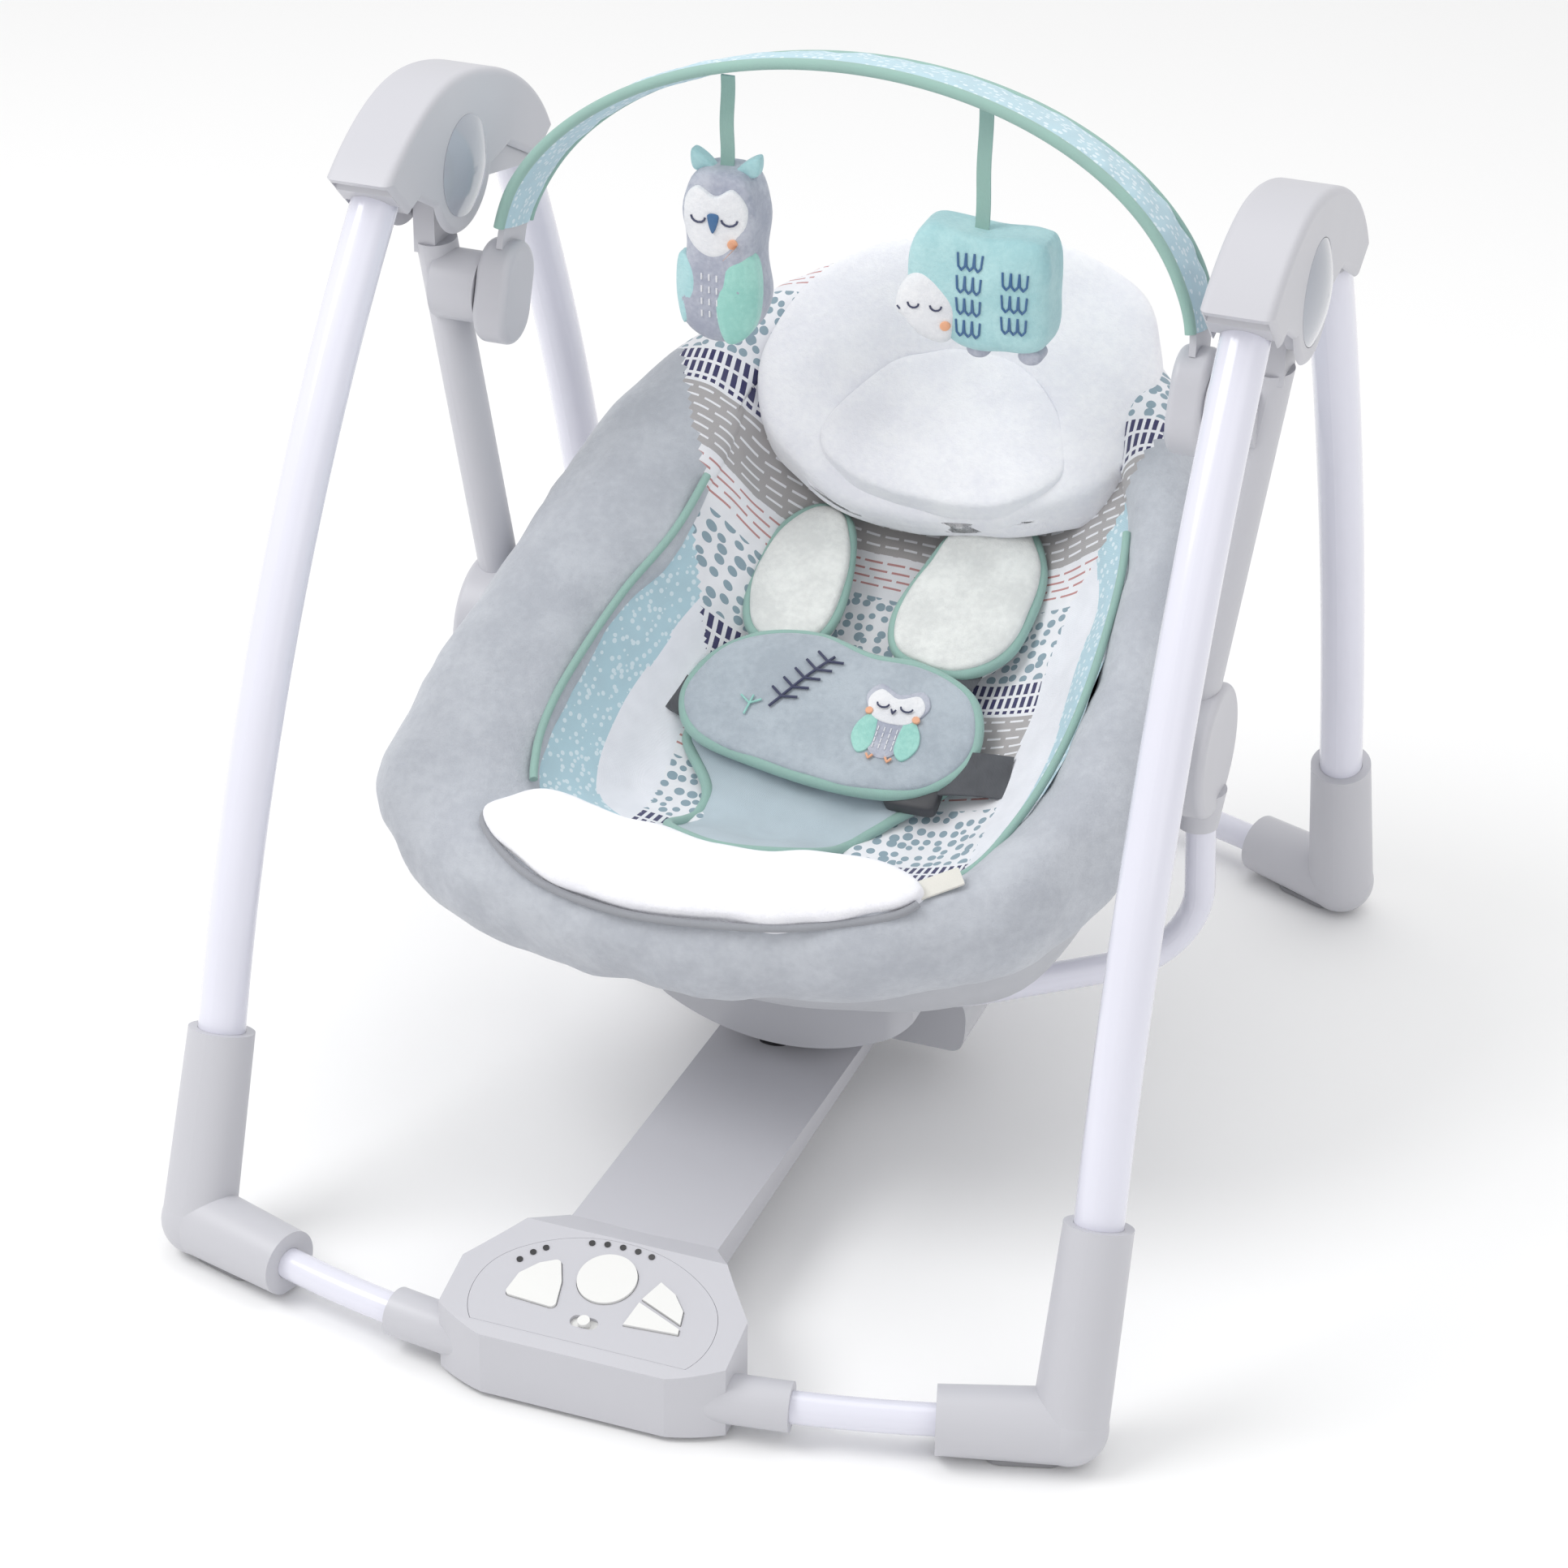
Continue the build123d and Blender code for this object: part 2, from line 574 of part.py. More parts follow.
def key_outlines():
    """The four keys and the power slide's slot, in the panel's plane."""
    left = make_face(Polyline((-53.5, -12), (-50.6, 4), (-42, 14), (-31, 20), (-24.5, 5), (-21, -14), close=True))
    right = mirror(left, about=Plane.YZ)
    ridge = Pos(38, -1) * Rot(0, 0, -22) * Rectangle(60, key_land)
    pieces = (right - ridge).faces().sort_by(Axis.Y)
    return {"speed_button": Pos(0, round_key_v) * Circle(round_key_r),
            "timer_button": fillet(left.vertices(), 3.0),
            "melody_button": pieces[-1],
            "volume_button": pieces[0]}


def panel_outline(shrink):
    """The panel's rounded D, drawn in by about shrink all round."""
    points = [(-66, -33), (-74, -10), (-70, 8), (-50, 28), (-25, 39), (0, 42)]
    points += [(-x, y) for x, y in reversed(points[:-1])]
    size = 1 - shrink / 40
    points = [(x * size, y * size) for x, y in points]
    return make_face(Spline(points) + Line(points[-1], points[0]))


def controls():
    """The panel plate with its sprung keys, the power slide and the indicator lights."""
    under = -panel_thick
    panel = panel_solid(panel_outline(fit_gap), under, 0)
    for name, outline in key_outlines().items():
        panel -= panel_solid(offset(outline, key_gap), under - 1, 1)
        cap = panel_solid(outline, under - 0.2, key_rise)
        keep(name, cap + panel_solid(offset(outline, key_gap + 0.8), under - 1.3, under - 0.1))
    panel -= panel_solid(Pos(*slide_spot) * SlotOverall(slide_slot[0], slide_slot[1]), under - 1, 1)
    knob = panel_solid(Pos(*slide_spot) * Circle(slide_slot[1] / 2 - key_gap), under - 0.2, 2.2)
    knob += panel_solid(Pos(*slide_spot) * Rectangle(20, slide_slot[1] + 1.6), under - 1.3, under - 0.1)
    keep("power_slide", knob)
    lights = [panel_solid(Pos(*spot) * Circle(light_r), -1.6, 0.7) for spot in light_spots]
    for light in lights:
        panel -= light
    keep("indicator_lights", Compound(children=[s for light in lights for s in light.solids()]))
    keep("control_panel", panel)


def base_parts():
    """The tray, pod cover and beam cover, before the screws."""
    tube = floor_tube_path(front_tube_y, front_tube_bow, foot_inner_x)
    share = pod_half_x / foot_inner_x
    outside = pod_body(0, 0) + swept(tube.trim(0.5 - share / 2, 0.5 + share / 2), sleeve_r)
    outside += beam_body(0, pod_y[1] - 8, beam_y[1])
    inside = pod_body(pod_wall, roof_thick)
    inside += beam_body(beam_wall, pod_y[1] - 12, beam_y[1] - beam_wall)
    shell = outside - inside - swept(tube, cross_d / 2 + fit_gap)
    shell -= panel_solid(panel_outline(0), -panel_thick, 30)
    shell -= panel_solid(panel_outline(4.0), -30, 1)
    tray_zone = Pos(0, cover_seam_y - 250, pod_seam - 100) * Box(500, 500, 200)
    end = beam_y[1] + 20
    seam = Polyline((cover_seam_y, -10), (cover_seam_y, beam_seam_front), (end, beam_seam_rear),
                    (end, -10), close=True)
    tray_zone += yz_plate(seam, -200, 200)
    front_zone = Pos(0, cover_seam_y - 250, 0) * Box(500, 500, 500)
    covers = shell - tray_zone
    return shell & tray_zone, covers & front_zone, covers - front_zone, inside


def base():
    """Base tray and covers, the screws that hold them, and what they enclose."""
    tray, pod_cover, beam_cover, inside = base_parts()
    screws = []
    posts = []
    for x, y in pod_screws + beam_screws:
        in_pod = (x, y) in pod_screws
        floor = pod_bottom if in_pod else beam_bottom
        hole = Pos(x, y, floor + 9) * Cylinder(screw_r, 18)
        screw = hole + Pos(x, y, floor + 0.75) * Cylinder(screw_r * 2, 1.5)
        column = Pos(x, y, floor + pod_wall + 50) * Cylinder(post_r, 100)
        for side in (1, -1):
            here = screw if side > 0 else left_of(screw)
            post = (column if side > 0 else left_of(column)) & inside
            tray -= here
            screws.append(here)
            if in_pod:
                pod_cover = pod_cover + (post - here)
                posts.append(post)
            else:
                beam_cover = beam_cover + (post - here)
    door_x, door_y = battery_door_size
    opening = Pos(0, battery_y, pod_bottom + pod_wall / 2) * Box(door_x + 1, door_y + 1, pod_wall)
    door = Pos(0, battery_y, pod_bottom + pod_wall / 2) * Box(door_x, door_y, pod_wall)
    door += Pos(0, battery_y, pod_bottom + pod_wall + 0.6) * Box(door_x + 3, door_y + 3, 1.2)
    tray -= opening
    cell_z = pod_bottom + pod_wall + 1.2 + cell_d / 2
    cell = Rot(0, 90, 0) * Cylinder(cell_d / 2, cell_length - 2)
    cell += Pos(cell_length / 2 - 1, 0, 0) * Rot(0, 90, 0) * Cylinder(3, 2)
    cells = [Pos(side * cell_length / 2, battery_y + row * cell_d / 2, cell_z) * cell
             for side in (1, -1) for row in (1.02, -1.02)]
    keep("battery_door", door)
    keep("batteries", Compound(children=cells))
    floor = beam_bottom + beam_wall
    keep("drive_coil", Pos(0, coil_y, floor + coil_size[1] / 2) * Cylinder(coil_size[0] / 2, coil_size[1]))
    x, y = window_spot
    window = Pos(x, y, beam_bottom + 23.5) * extrude(Ellipse(*window_size), amount=4.5)
    beam_cover -= window
    keep("sensor_window", window)
    board = panel_solid(Pos(0, -12) * Rectangle(146, 34), -10.6, -9)
    for post in posts:
        board -= post
    keep("circuit_board", board.solids().sort_by(SortBy.VOLUME)[-1])
    keep("base_tray", tray.solids().sort_by(SortBy.VOLUME)[-1])
    keep("pod_cover", pod_cover.solids().sort_by(SortBy.VOLUME)[-1])
    keep("beam_cover", beam_cover.solids().sort_by(SortBy.VOLUME)[-1])
    keep("base_screws", Compound(children=[s for screw in screws for s in screw.solids()]))


def drive_head():
    """The cross piece at the beam's end, with upturned tips, and its support tube to the floor."""
    tip, low = head_half_x, beam_bottom
    right = Spline((0, low + 19.5), (50, low + 22), (74, low + 33), (86, low + 41))
    right += Spline((86, low + 41), (93, low + 37), (tip, low + 15), (93, low + 2), (88, low))
    face = make_face(Plane.XZ.offset(-head_y[0]) * (right + Line((88, low), (-88, low)) + mirror(right, about=Plane.YZ)))
    body = extrude(face, amount=head_y[1] - head_y[0], dir=(0, 1, 0))
    hollow_y = sum(head_y) / 2
    body -= Pos(0, hollow_y, low + 10) * Box(2 * support_x - 30, head_y[1] - head_y[0] - 6, 14)
    top = (support_x, head_y[1] - 26, low + 18)
    rim = (support_x, head_y[1] + 30, low + 18)
    floor = (support_x - 14, support_y, support_d / 2)
    points = [top, rim, floor, (-floor[0], floor[1], floor[2]), (-rim[0], rim[1], rim[2]),
              (-top[0], top[1], top[2])]
    path = FilletPolyline(*points, radius=26)
    body -= swept(path, support_d / 2)
    keep("drive_head", body.solids().sort_by(SortBy.VOLUME)[-1])
    keep("rear_support_tube", swept_tube(path, support_d / 2, 1.2))


# ---------------------------------------------------------------- seat
def seat_plane(depth):
    """A plane of the seat, a depth below its rim, with +Y of the plane towards the head."""
    lean = radians(seat_tilt)
    normal = Vector(0, -sin(lean), cos(lean))
    return Plane(origin=Vector(0, seat_y, seat_z) + normal * depth, x_dir=(1, 0, 0), z_dir=normal)


def egg(foot_w, head_w, v_from, v_to, foot_r, head_r):
    """The seat's plan: broad and square at the feet, narrower and round at the head."""
    face = make_face(Polyline((-foot_w, v_from), (foot_w, v_from), (head_w, v_to), (-head_w, v_to), close=True))
    face = fillet(face.vertices().group_by(Axis.Y)[0], min(foot_r, 0.9 * foot_w))
    return fillet(face.vertices().group_by(Axis.Y)[-1], min(head_r, 0.97 * head_w))


def bucket(sections):
    """A loft through egg-shaped sections, each a depth and the six sizes of its plan."""
    return loft([seat_plane(depth) * egg(*plan) for depth, *plan in sections])


def seat_block(x, v, depth, size, corner):
    """A rounded pad in the seat: middle (x, v) at a depth, size across, along and thick."""
    face = seat_plane(depth - size[2] / 2) * Pos(x, v) * RectangleRounded(size[0], size[1], corner)
    return extrude(face, amount=size[2])


def seat():
    """Padded seat on a tube ring, with the recline pins that carry it in the discs."""
    a, b, foot_end, head_end = seat_half_w, seat_head_w, seat_v[0], seat_v[1]
    outside = bucket([(0, a - 14, b - 12, foot_end + 12, head_end - 8, 138, b - 20),
                      (-38, a, b, foot_end, head_end, 145, b - 8),
                      (-88, a - 24, b - 20, foot_end + 36, head_end - 18, 130, b - 28),
                      (-140, a - 84, b - 70, -186, 112, 90, 90),
                      (-180, a - 144, b - 108, -100, 50, 60, 60)])
    well = bucket([(4, 156, 134, -208, 228, 105, 122), (-52, 140, 122, -194, 206, 98, 112),
                   (-96, 108, 96, -160, 150, 70, 80)])
    lean = radians(seat_tilt)
    v_pin = (recline_y - seat_y) * cos(lean) + (recline_z - seat_z) * sin(lean)
    w_pin = -(recline_y - seat_y) * sin(lean) + (recline_z - seat_z) * cos(lean)
    ring_path = (seat_plane(-ring_depth) * egg(*ring_plan)).face().outer_wire()
    ring_bar = swept(ring_path, ring_d / 2)
    lug_height = -ring_depth - w_pin + recline_pin_d / 2
    lug = seat_block(lug_x, v_pin, (-ring_depth + w_pin - recline_pin_d / 2) / 2,
                     (8, 24, lug_height), 3)
    pin = x_cylinder(recline_pin_d / 2, lug_x - 4, disc_x[0] + pin_reach, recline_y, recline_z)
    pivot = lug + pin - ring_bar
    pads = {"head_support": seat_block(*head_pad),
            "leg_rest": seat_block(*leg_pad) - ring_bar,
            "belly_pad": seat_block(*waist_pad)}
    strap = seat_block(*shoulder_pad)
    harness = Compound(children=[strap.solid(), left_of(strap).solid(), seat_block(*crotch_pad).solid()])
    cushion = outside - well - ring_bar - lug - left_of(lug) - pin - left_of(pin)
    disc_room = x_cylinder(disc_r + 8, pocket_x, disc_x[1], recline_y, recline_z)
    cushion -= disc_room + left_of(disc_room)
    for pad in list(pads.values()) + harness.solids():
        cushion -= pad
    keep("seat_cushion", cushion.solids().sort_by(SortBy.VOLUME)[-1])
    keep("seat_ring", ring_bar)
    keep("recline_pivots", both(pivot.solids().sort_by(SortBy.VOLUME)[-1]))
    keep("head_support", pads["head_support"])
    keep("leg_rest", pads["leg_rest"])
    keep("belly_pad", pads["belly_pad"])
    keep("harness_pads", harness)


front_leg, rear_leg = legs_and_feet()
hubs(front_leg)
knuckles(rear_leg)
arms()
recline_discs()
seat_tube()
drive_housing()
toy_bar()
hanging_toy("owl", owl_x, owl_strap, owl_size)
hanging_toy("hedgehog", hedgehog_x, hedgehog_strap, hedgehog_size)
controls()
base()
drive_head()
seat()

for name, shape in NODES.items():
    export_step(shape, os.path.join(OUT, name + ".step"))
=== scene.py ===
"""Looks for a portable baby swing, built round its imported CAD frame.

Metres, +X to the right seen from the front, -Y towards the front, +Z up, origin on the floor.
Each sub-assembly is a class that models its pieces and dresses them; finishes are frozen
dataclasses; main() builds them all in order.
"""

import logging
import math
from dataclasses import dataclass, field
from enum import Enum
from typing import Callable, Sequence

import bpy
from mathutils import Matrix, Vector, noise


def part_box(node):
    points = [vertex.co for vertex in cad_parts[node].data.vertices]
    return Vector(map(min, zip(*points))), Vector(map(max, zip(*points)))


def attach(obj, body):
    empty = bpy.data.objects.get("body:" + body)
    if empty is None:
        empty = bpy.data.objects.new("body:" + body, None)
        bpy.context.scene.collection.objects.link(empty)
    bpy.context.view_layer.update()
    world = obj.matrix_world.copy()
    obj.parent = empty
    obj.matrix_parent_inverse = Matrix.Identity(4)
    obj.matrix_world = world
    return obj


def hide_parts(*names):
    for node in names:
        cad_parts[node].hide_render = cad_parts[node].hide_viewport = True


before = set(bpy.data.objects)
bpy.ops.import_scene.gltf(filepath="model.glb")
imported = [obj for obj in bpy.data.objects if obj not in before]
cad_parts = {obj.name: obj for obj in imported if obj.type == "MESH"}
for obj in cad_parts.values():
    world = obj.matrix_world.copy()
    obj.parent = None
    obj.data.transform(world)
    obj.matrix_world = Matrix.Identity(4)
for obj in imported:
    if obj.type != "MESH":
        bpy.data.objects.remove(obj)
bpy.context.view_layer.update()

Point = tuple[float, float, float]
Flat = tuple[float, float]
Colour = tuple[float, float, float, float]
Place = Callable[[float, float, float], Vector]
Flatten = Callable[[float, float], Vector]

SEAT_TILT = math.radians(30.5)
SEAT_MIDDLE = Vector((0.0, 0.020, 0.345))
SEAT_ALONG = Vector((0.0, math.cos(SEAT_TILT), math.sin(SEAT_TILT)))
SEAT_NORMAL = Vector((0.0, -math.sin(SEAT_TILT), math.cos(SEAT_TILT)))
ARCH_TILT = math.radians(12.5)
ARCH_ROOT = (0.027, 0.520)
ARCH_HALF = 0.216
ARCH_RISE = 0.137

log = logging.getLogger("swing")


def colour(red: float, green: float, blue: float) -> Colour:
    """A linear colour from screen values of 0 to 255.

    Args:
        red: red screen value.
        green: green screen value.
        blue: blue screen value.

    Returns:
        The colour as linear red, green, blue and a full alpha.
    """
    linear = [((part / 255 + 0.055) / 1.055) ** 2.4 if part > 10 else part / 255 / 12.92
              for part in (red, green, blue)]
    return (linear[0], linear[1], linear[2], 1.0)


def seat_place(x: float, along: float, height: float) -> Vector:
    """A point of the seat's own frame, in metres, as a point of the object's frame.

    Args:
        x: distance across, in metres.
        along: distance along the seat, in metres.
        height: distance above the seat's plane, in metres.

    Returns:
        the point.
    """
    return SEAT_MIDDLE + Vector((x, 0, 0)) + SEAT_ALONG * along + SEAT_NORMAL * height


def smooth(low: float, high: float, value: float) -> float:
    """Rises smoothly from 0 at low to 1 at high.

    Args:
        low: where the result starts to rise.
        high: where the result stops rising.
        value: the value.

    Returns:
        a value of 0 to 1.
    """
    share = min(1.0, max(0.0, (value - low) / (high - low)))
    return share * share * (3 - 2 * share)


def blend(values: Sequence[float], part: float) -> float:
    """A Catmull-Rom value between the second and the third of four values.

    Args:
        values: the four values.
        part: the share of the way, 0 to 1.

    Returns:
        the value.
    """
    p, q, r, s = values
    square = (2 * p - 5 * q + 4 * r - s) * part**2
    return 0.5 * (2 * q + (r - p) * part + square + (3 * q - p - 3 * r + s) * part**3)


class Bench:
    """Mesh tools that act as a hand would: add a primitive, shape it, finish it."""

    @staticmethod
    def clear() -> None:
        """Deselects everything."""
        bpy.ops.object.select_all(action="DESELECT")

    @staticmethod
    def take(name: str) -> bpy.types.Object:
        """Names the object that an operator has just added.

        Args:
            name: the piece's name.

        Returns:
            the object.
        """
        piece = bpy.context.active_object
        piece.name = name
        piece.data.name = name
        return piece

    @staticmethod
    def pick(piece: bpy.types.Object) -> None:
        """Makes one piece selected and active.

        Args:
            piece: the piece.
        """
        Bench.clear()
        piece.select_set(True)
        bpy.context.view_layer.objects.active = piece

    @staticmethod
    def shape(piece: bpy.types.Object, move: Callable[[Vector], Vector]) -> None:
        """Moves each vertex of a piece to where move puts it.

        Args:
            piece: the piece.
            move: gives a vertex's new place from its old one.
        """
        for vertex in piece.data.vertices:
            vertex.co = move(vertex.co.copy())
        piece.data.update()

    @staticmethod
    def tidy(piece: bpy.types.Object, distance: float = 1e-5) -> None:
        """Merges a piece's doubles and turns its faces outwards.

        Args:
            piece: the piece.
            distance: how near two vertices must be to merge.
        """
        Bench.pick(piece)
        bpy.ops.object.mode_set(mode="EDIT")
        bpy.ops.mesh.select_all(action="SELECT")
        bpy.ops.mesh.remove_doubles(threshold=distance)
        bpy.ops.mesh.normals_make_consistent(inside=False)
        bpy.ops.object.mode_set(mode="OBJECT")

    @staticmethod
    def soften(piece: bpy.types.Object, angle: float = 180.0) -> None:
        """Shades a piece smooth across edges flatter than an angle in degrees.

        Args:
            piece: the piece.
            angle: the sharpest edge that is shaded smooth, in degrees.
        """
        Bench.pick(piece)
        bpy.ops.object.shade_smooth_by_angle(angle=math.radians(angle))

    @staticmethod
    def modify(piece: bpy.types.Object, kind: str, **settings: object) -> None:
        """Adds a modifier with its settings and applies it.

        Args:
            piece: the piece.
            kind: the modifier's type.
            settings: its properties, by name.
        """
        Bench.pick(piece)
        modifier = piece.modifiers.new(kind.lower(), kind)
        for name, value in settings.items():
            setattr(modifier, name, value)
        bpy.ops.object.modifier_apply(modifier=modifier.name)

    @staticmethod
    def sheet(name: str, columns: int, rows: int, place: Flatten) -> bpy.types.Object:
        """A grid laid over a surface.

        Args:
            name: the piece's name.
            columns: faces across.
            rows: faces along.
            place: the surface, from two shares of 0 to 1.

        Returns:
            The piece, with its seams merged.
        """
        Bench.clear()
        bpy.ops.mesh.primitive_grid_add(x_subdivisions=columns, y_subdivisions=rows, size=1)
        piece = Bench.take(name)
        Bench.shape(piece, lambda co: place(co.x + 0.5, co.y + 0.5))
        Bench.tidy(piece)
        Bench.soften(piece)
        return piece

    @staticmethod
    def cushion(
        name: str,
        outline: Sequence[Flat],
        thick: float,
        place: Place,
        fullness: float = 0.55,
        segments: int = 96,
        rings: int = 40,
    ) -> bpy.types.Object:
        """A crowned closed pad over an outline.

        Args:
            name: the piece's name.
            outline: points round the pad, which a smooth loop joins.
            thick: half the thickness at the crown.
            place: puts a point of the pad, across, along and up, in the object's frame.
            fullness: below 1 keeps the pad plump towards its edge.
            segments: faces round the pad.
            rings: faces from pole to pole.

        Returns:
            The pad.
        """
        loop = Loop(outline)
        centre = loop.centre()
        Bench.clear()
        bpy.ops.mesh.primitive_uv_sphere_add(segments=segments, ring_count=rings, radius=1)
        piece = Bench.take(name)

        def move(co: Vector) -> Vector:
            """Puts a vertex of the ball on the pad.

            Args:
                co: where the vertex was.

            Returns:
                the point.
            """
            across = min(1.0, math.hypot(co.x, co.y))
            turn = (math.atan2(co.y, co.x) / math.tau) % 1.0
            edge = loop.at(turn)
            spread = math.sin(across * math.pi / 2)
            x = centre[0] + (edge[0] - centre[0]) * spread
            y = centre[1] + (edge[1] - centre[1]) * spread
            up = math.copysign(abs(co.z) ** fullness, co.z) * thick
            return place(x, y, up)

        Bench.shape(piece, move)
        Bench.tidy(piece, 1e-6)
        Bench.soften(piece)
        return piece

    @staticmethod
    def cord(
        name: str, points: Sequence[Vector], radius: float, closed: bool, sides: int = 4
    ) -> bpy.types.Object:
        """A round edging that follows points, made a mesh.

        Args:
            name: the piece's name.
            points: the points that it follows.
            radius: its radius.
            closed: whether it is a ring.
            sides: how finely it is rounded.

        Returns:
            the edging, as a mesh.
        """
        curve = bpy.data.curves.new(name, "CURVE")
        curve.dimensions = "3D"
        curve.bevel_depth = radius
        curve.bevel_resolution = sides
        curve.use_fill_caps = not closed
        spline = curve.splines.new("POLY")
        spline.points.add(len(points) - 1)
        for knot, point in zip(spline.points, points):
            knot.co = (*point, 1)
        spline.use_cyclic_u = closed
        piece = bpy.data.objects.new(name, curve)
        bpy.context.scene.collection.objects.link(piece)
        Bench.pick(piece)
        bpy.ops.object.convert(target="MESH")
        piece = Bench.take(name)
        Bench.soften(piece)
        return piece

    @staticmethod
    def join(name: str, pieces: Sequence[bpy.types.Object]) -> bpy.types.Object:
        """Joins pieces into the first one.

        Args:
            name: the piece's name.
            pieces: the pieces to join.

        Returns:
            the joined piece.
        """
        Bench.clear()
        for piece in pieces:
            piece.select_set(True)
        bpy.context.view_layer.objects.active = pieces[0]
        bpy.ops.object.join()
        return Bench.take(name)

    @staticmethod
    def rumple(piece: bpy.types.Object, depth: float, grain: float, seed: float) -> None:
        """Pushes a piece's skin in and out by soft noise.

        Args:
            piece: the piece.
            depth: the largest push.
            grain: the size of the noise.
            seed: a shift that makes the noise this piece's own.
        """
        normals = [vertex.normal.copy() for vertex in piece.data.vertices]
        for vertex, normal in zip(piece.data.vertices, normals):
            where = vertex.co / grain + Vector((seed, seed * 2, seed * 3))
            vertex.co = vertex.co + normal * noise.noise(where) * depth
        piece.data.update()


class Loop:
    """A smooth closed loop through a few points."""

    def __init__(self, points: Sequence[Flat]) -> None:
        """Keeps the points that the loop passes through.

        Args:
            points: the points that the loop passes through.
        """
        self.points = list(points)

    def at(self, share: float) -> Flat:
        """The point at a share of the loop, by a Catmull-Rom curve.

        Args:
            share: the share of the way, 0 to 1.

        Returns:
            the point.
        """
        count = len(self.points)
        where = (share % 1.0) * count
        index = int(where)
        part = where - index
        a, b, c, d = (self.points[(index + k) % count] for k in (-1, 0, 1, 2))
        return tuple(blend(values, part) for values in zip(a, b, c, d))

    def centre(self) -> Flat:
        """The mean of the points.

        Returns:
            the mean point.
        """
        count = len(self.points)
        return (sum(p[0] for p in self.points) / count, sum(p[1] for p in self.points) / count)

    def walk(self, count: int) -> list[Flat]:
        """Points evenly shared round the loop.

        Args:
            count: how many points.

        Returns:
            the points.
        """
        return [self.at(step / count) for step in range(count)]


class Graph:
    """Builds a material's or a group's nodes in few words."""

    def __init__(self, tree: bpy.types.NodeTree) -> None:
        """Starts on a node tree.

        Args:
            tree: the node tree.
        """
        self.tree = tree

    def node(self, kind: str, **settings: object) -> bpy.types.Node:
        """Adds a node and sets its properties.

        Args:
            kind: the node's type.
            settings: its properties, by name.

        Returns:
            the node.
        """
        made = self.tree.nodes.new(kind)
        for name, value in settings.items():
            setattr(made, name, value)
        return made

    def feed(self, value: object, socket: bpy.types.NodeSocket) -> None:
        """Links a socket, or sets a plain value.

        Args:
            value: a socket or a plain value.
            socket: the socket that takes it.
        """
        if isinstance(value, bpy.types.NodeSocket):
            self.tree.links.new(value, socket)
        else:
            socket.default_value = value

    def math(self, operation: str, *values: object) -> bpy.types.NodeSocket:
        """A math node on up to three values.

        Args:
            operation: the operation.
            values: the values that go in.

        Returns:
            the result.
        """
        made = self.node("ShaderNodeMath", operation=operation)
        for value, socket in zip(values, made.inputs):
            self.feed(value, socket)
        return made.outputs[0]

    def step(self, value: object, low: float, high: float) -> bpy.types.NodeSocket:
        """A smooth step from 0 at low to 1 at high.

        Args:
            value: the value.
            low: where the result starts to rise.
            high: where the result stops rising.

        Returns:
            the result.
        """
        made = self.node("ShaderNodeMapRange", interpolation_type="SMOOTHSTEP")
        self.feed(value, made.inputs[0])
        made.inputs[1].default_value = low
        made.inputs[2].default_value = high
        return made.outputs[0]

    def mix(self, share: object, first: object, second: object) -> bpy.types.NodeSocket:
        """Mixes two colours.

        Args:
            share: the share of the second.
            first: the result at share 0.
            second: the result at share 1.

        Returns:
            the mixed colour.
        """
        made = self.node("ShaderNodeMix", data_type="RGBA")
        self.feed(share, made.inputs[0])
        self.feed(first, made.inputs[6])
        self.feed(second, made.inputs[7])
        return made.outputs[2]

    def noise(self, where: object, scale: float, detail: float = 2.0) -> bpy.types.NodeSocket:
        """A noise value.

        Args:
            where: the vector to look it up at.
            scale: the scale.
            detail: the detail.

        Returns:
            the value.
        """
        made = self.node("ShaderNodeTexNoise")
        self.feed(where, made.inputs["Vector"])
        made.inputs["Scale"].default_value = scale
        made.inputs["Detail"].default_value = detail
        return made.outputs[0]

    def cells(self, where: object, scale: float, randomness: float = 1.0) -> bpy.types.Node:
        """A Voronoi node.

        Args:
            where: the vector to look it up at.
            scale: the scale.
            randomness: how far cells stray from a grid.

        Returns:
            the node.
        """
        made = self.node("ShaderNodeTexVoronoi")
        self.feed(where, made.inputs["Vector"])
        made.inputs["Scale"].default_value = scale
        made.inputs["Randomness"].default_value = randomness
        return made

    def split(self, where: object) -> tuple[bpy.types.NodeSocket, ...]:
        """The three parts of a vector.

        Args:
            where: the vector.

        Returns:
            the parts.
        """
        made = self.node("ShaderNodeSeparateXYZ")
        self.feed(where, made.inputs[0])
        return tuple(made.outputs)

    def merge(self, x: object, y: object, z: object) -> bpy.types.NodeSocket:
        """A vector of three parts.

        Args:
            x: the first part.
            y: the second part.
            z: the third part.

        Returns:
            the vector.
        """
        made = self.node("ShaderNodeCombineXYZ")
        for value, socket in zip((x, y, z), made.inputs):
            self.feed(value, socket)
        return made.outputs[0]

    def bump(self, height: object, strength: float, distance: float) -> bpy.types.NodeSocket:
        """A bumped normal.

        Args:
            height: the height.
            strength: the strength.
            distance: the height that 1 stands for.

        Returns:
            the normal.
        """
        made = self.node("ShaderNodeBump")
        made.inputs["Strength"].default_value = strength
        made.inputs["Distance"].default_value = distance
        self.feed(height, made.inputs["Height"])
        return made.outputs[0]

    def group(self, tree: bpy.types.NodeTree, **values: object) -> bpy.types.Node:
        """Places a node group with its own values.

        Args:
            tree: the group's tree.
            values: its inputs, by name.

        Returns:
            the node.
        """
        made = self.node("ShaderNodeGroup")
        made.node_tree = tree
        for name, value in values.items():
            self.feed(value, made.inputs[name.replace("_", " ")])
        return made


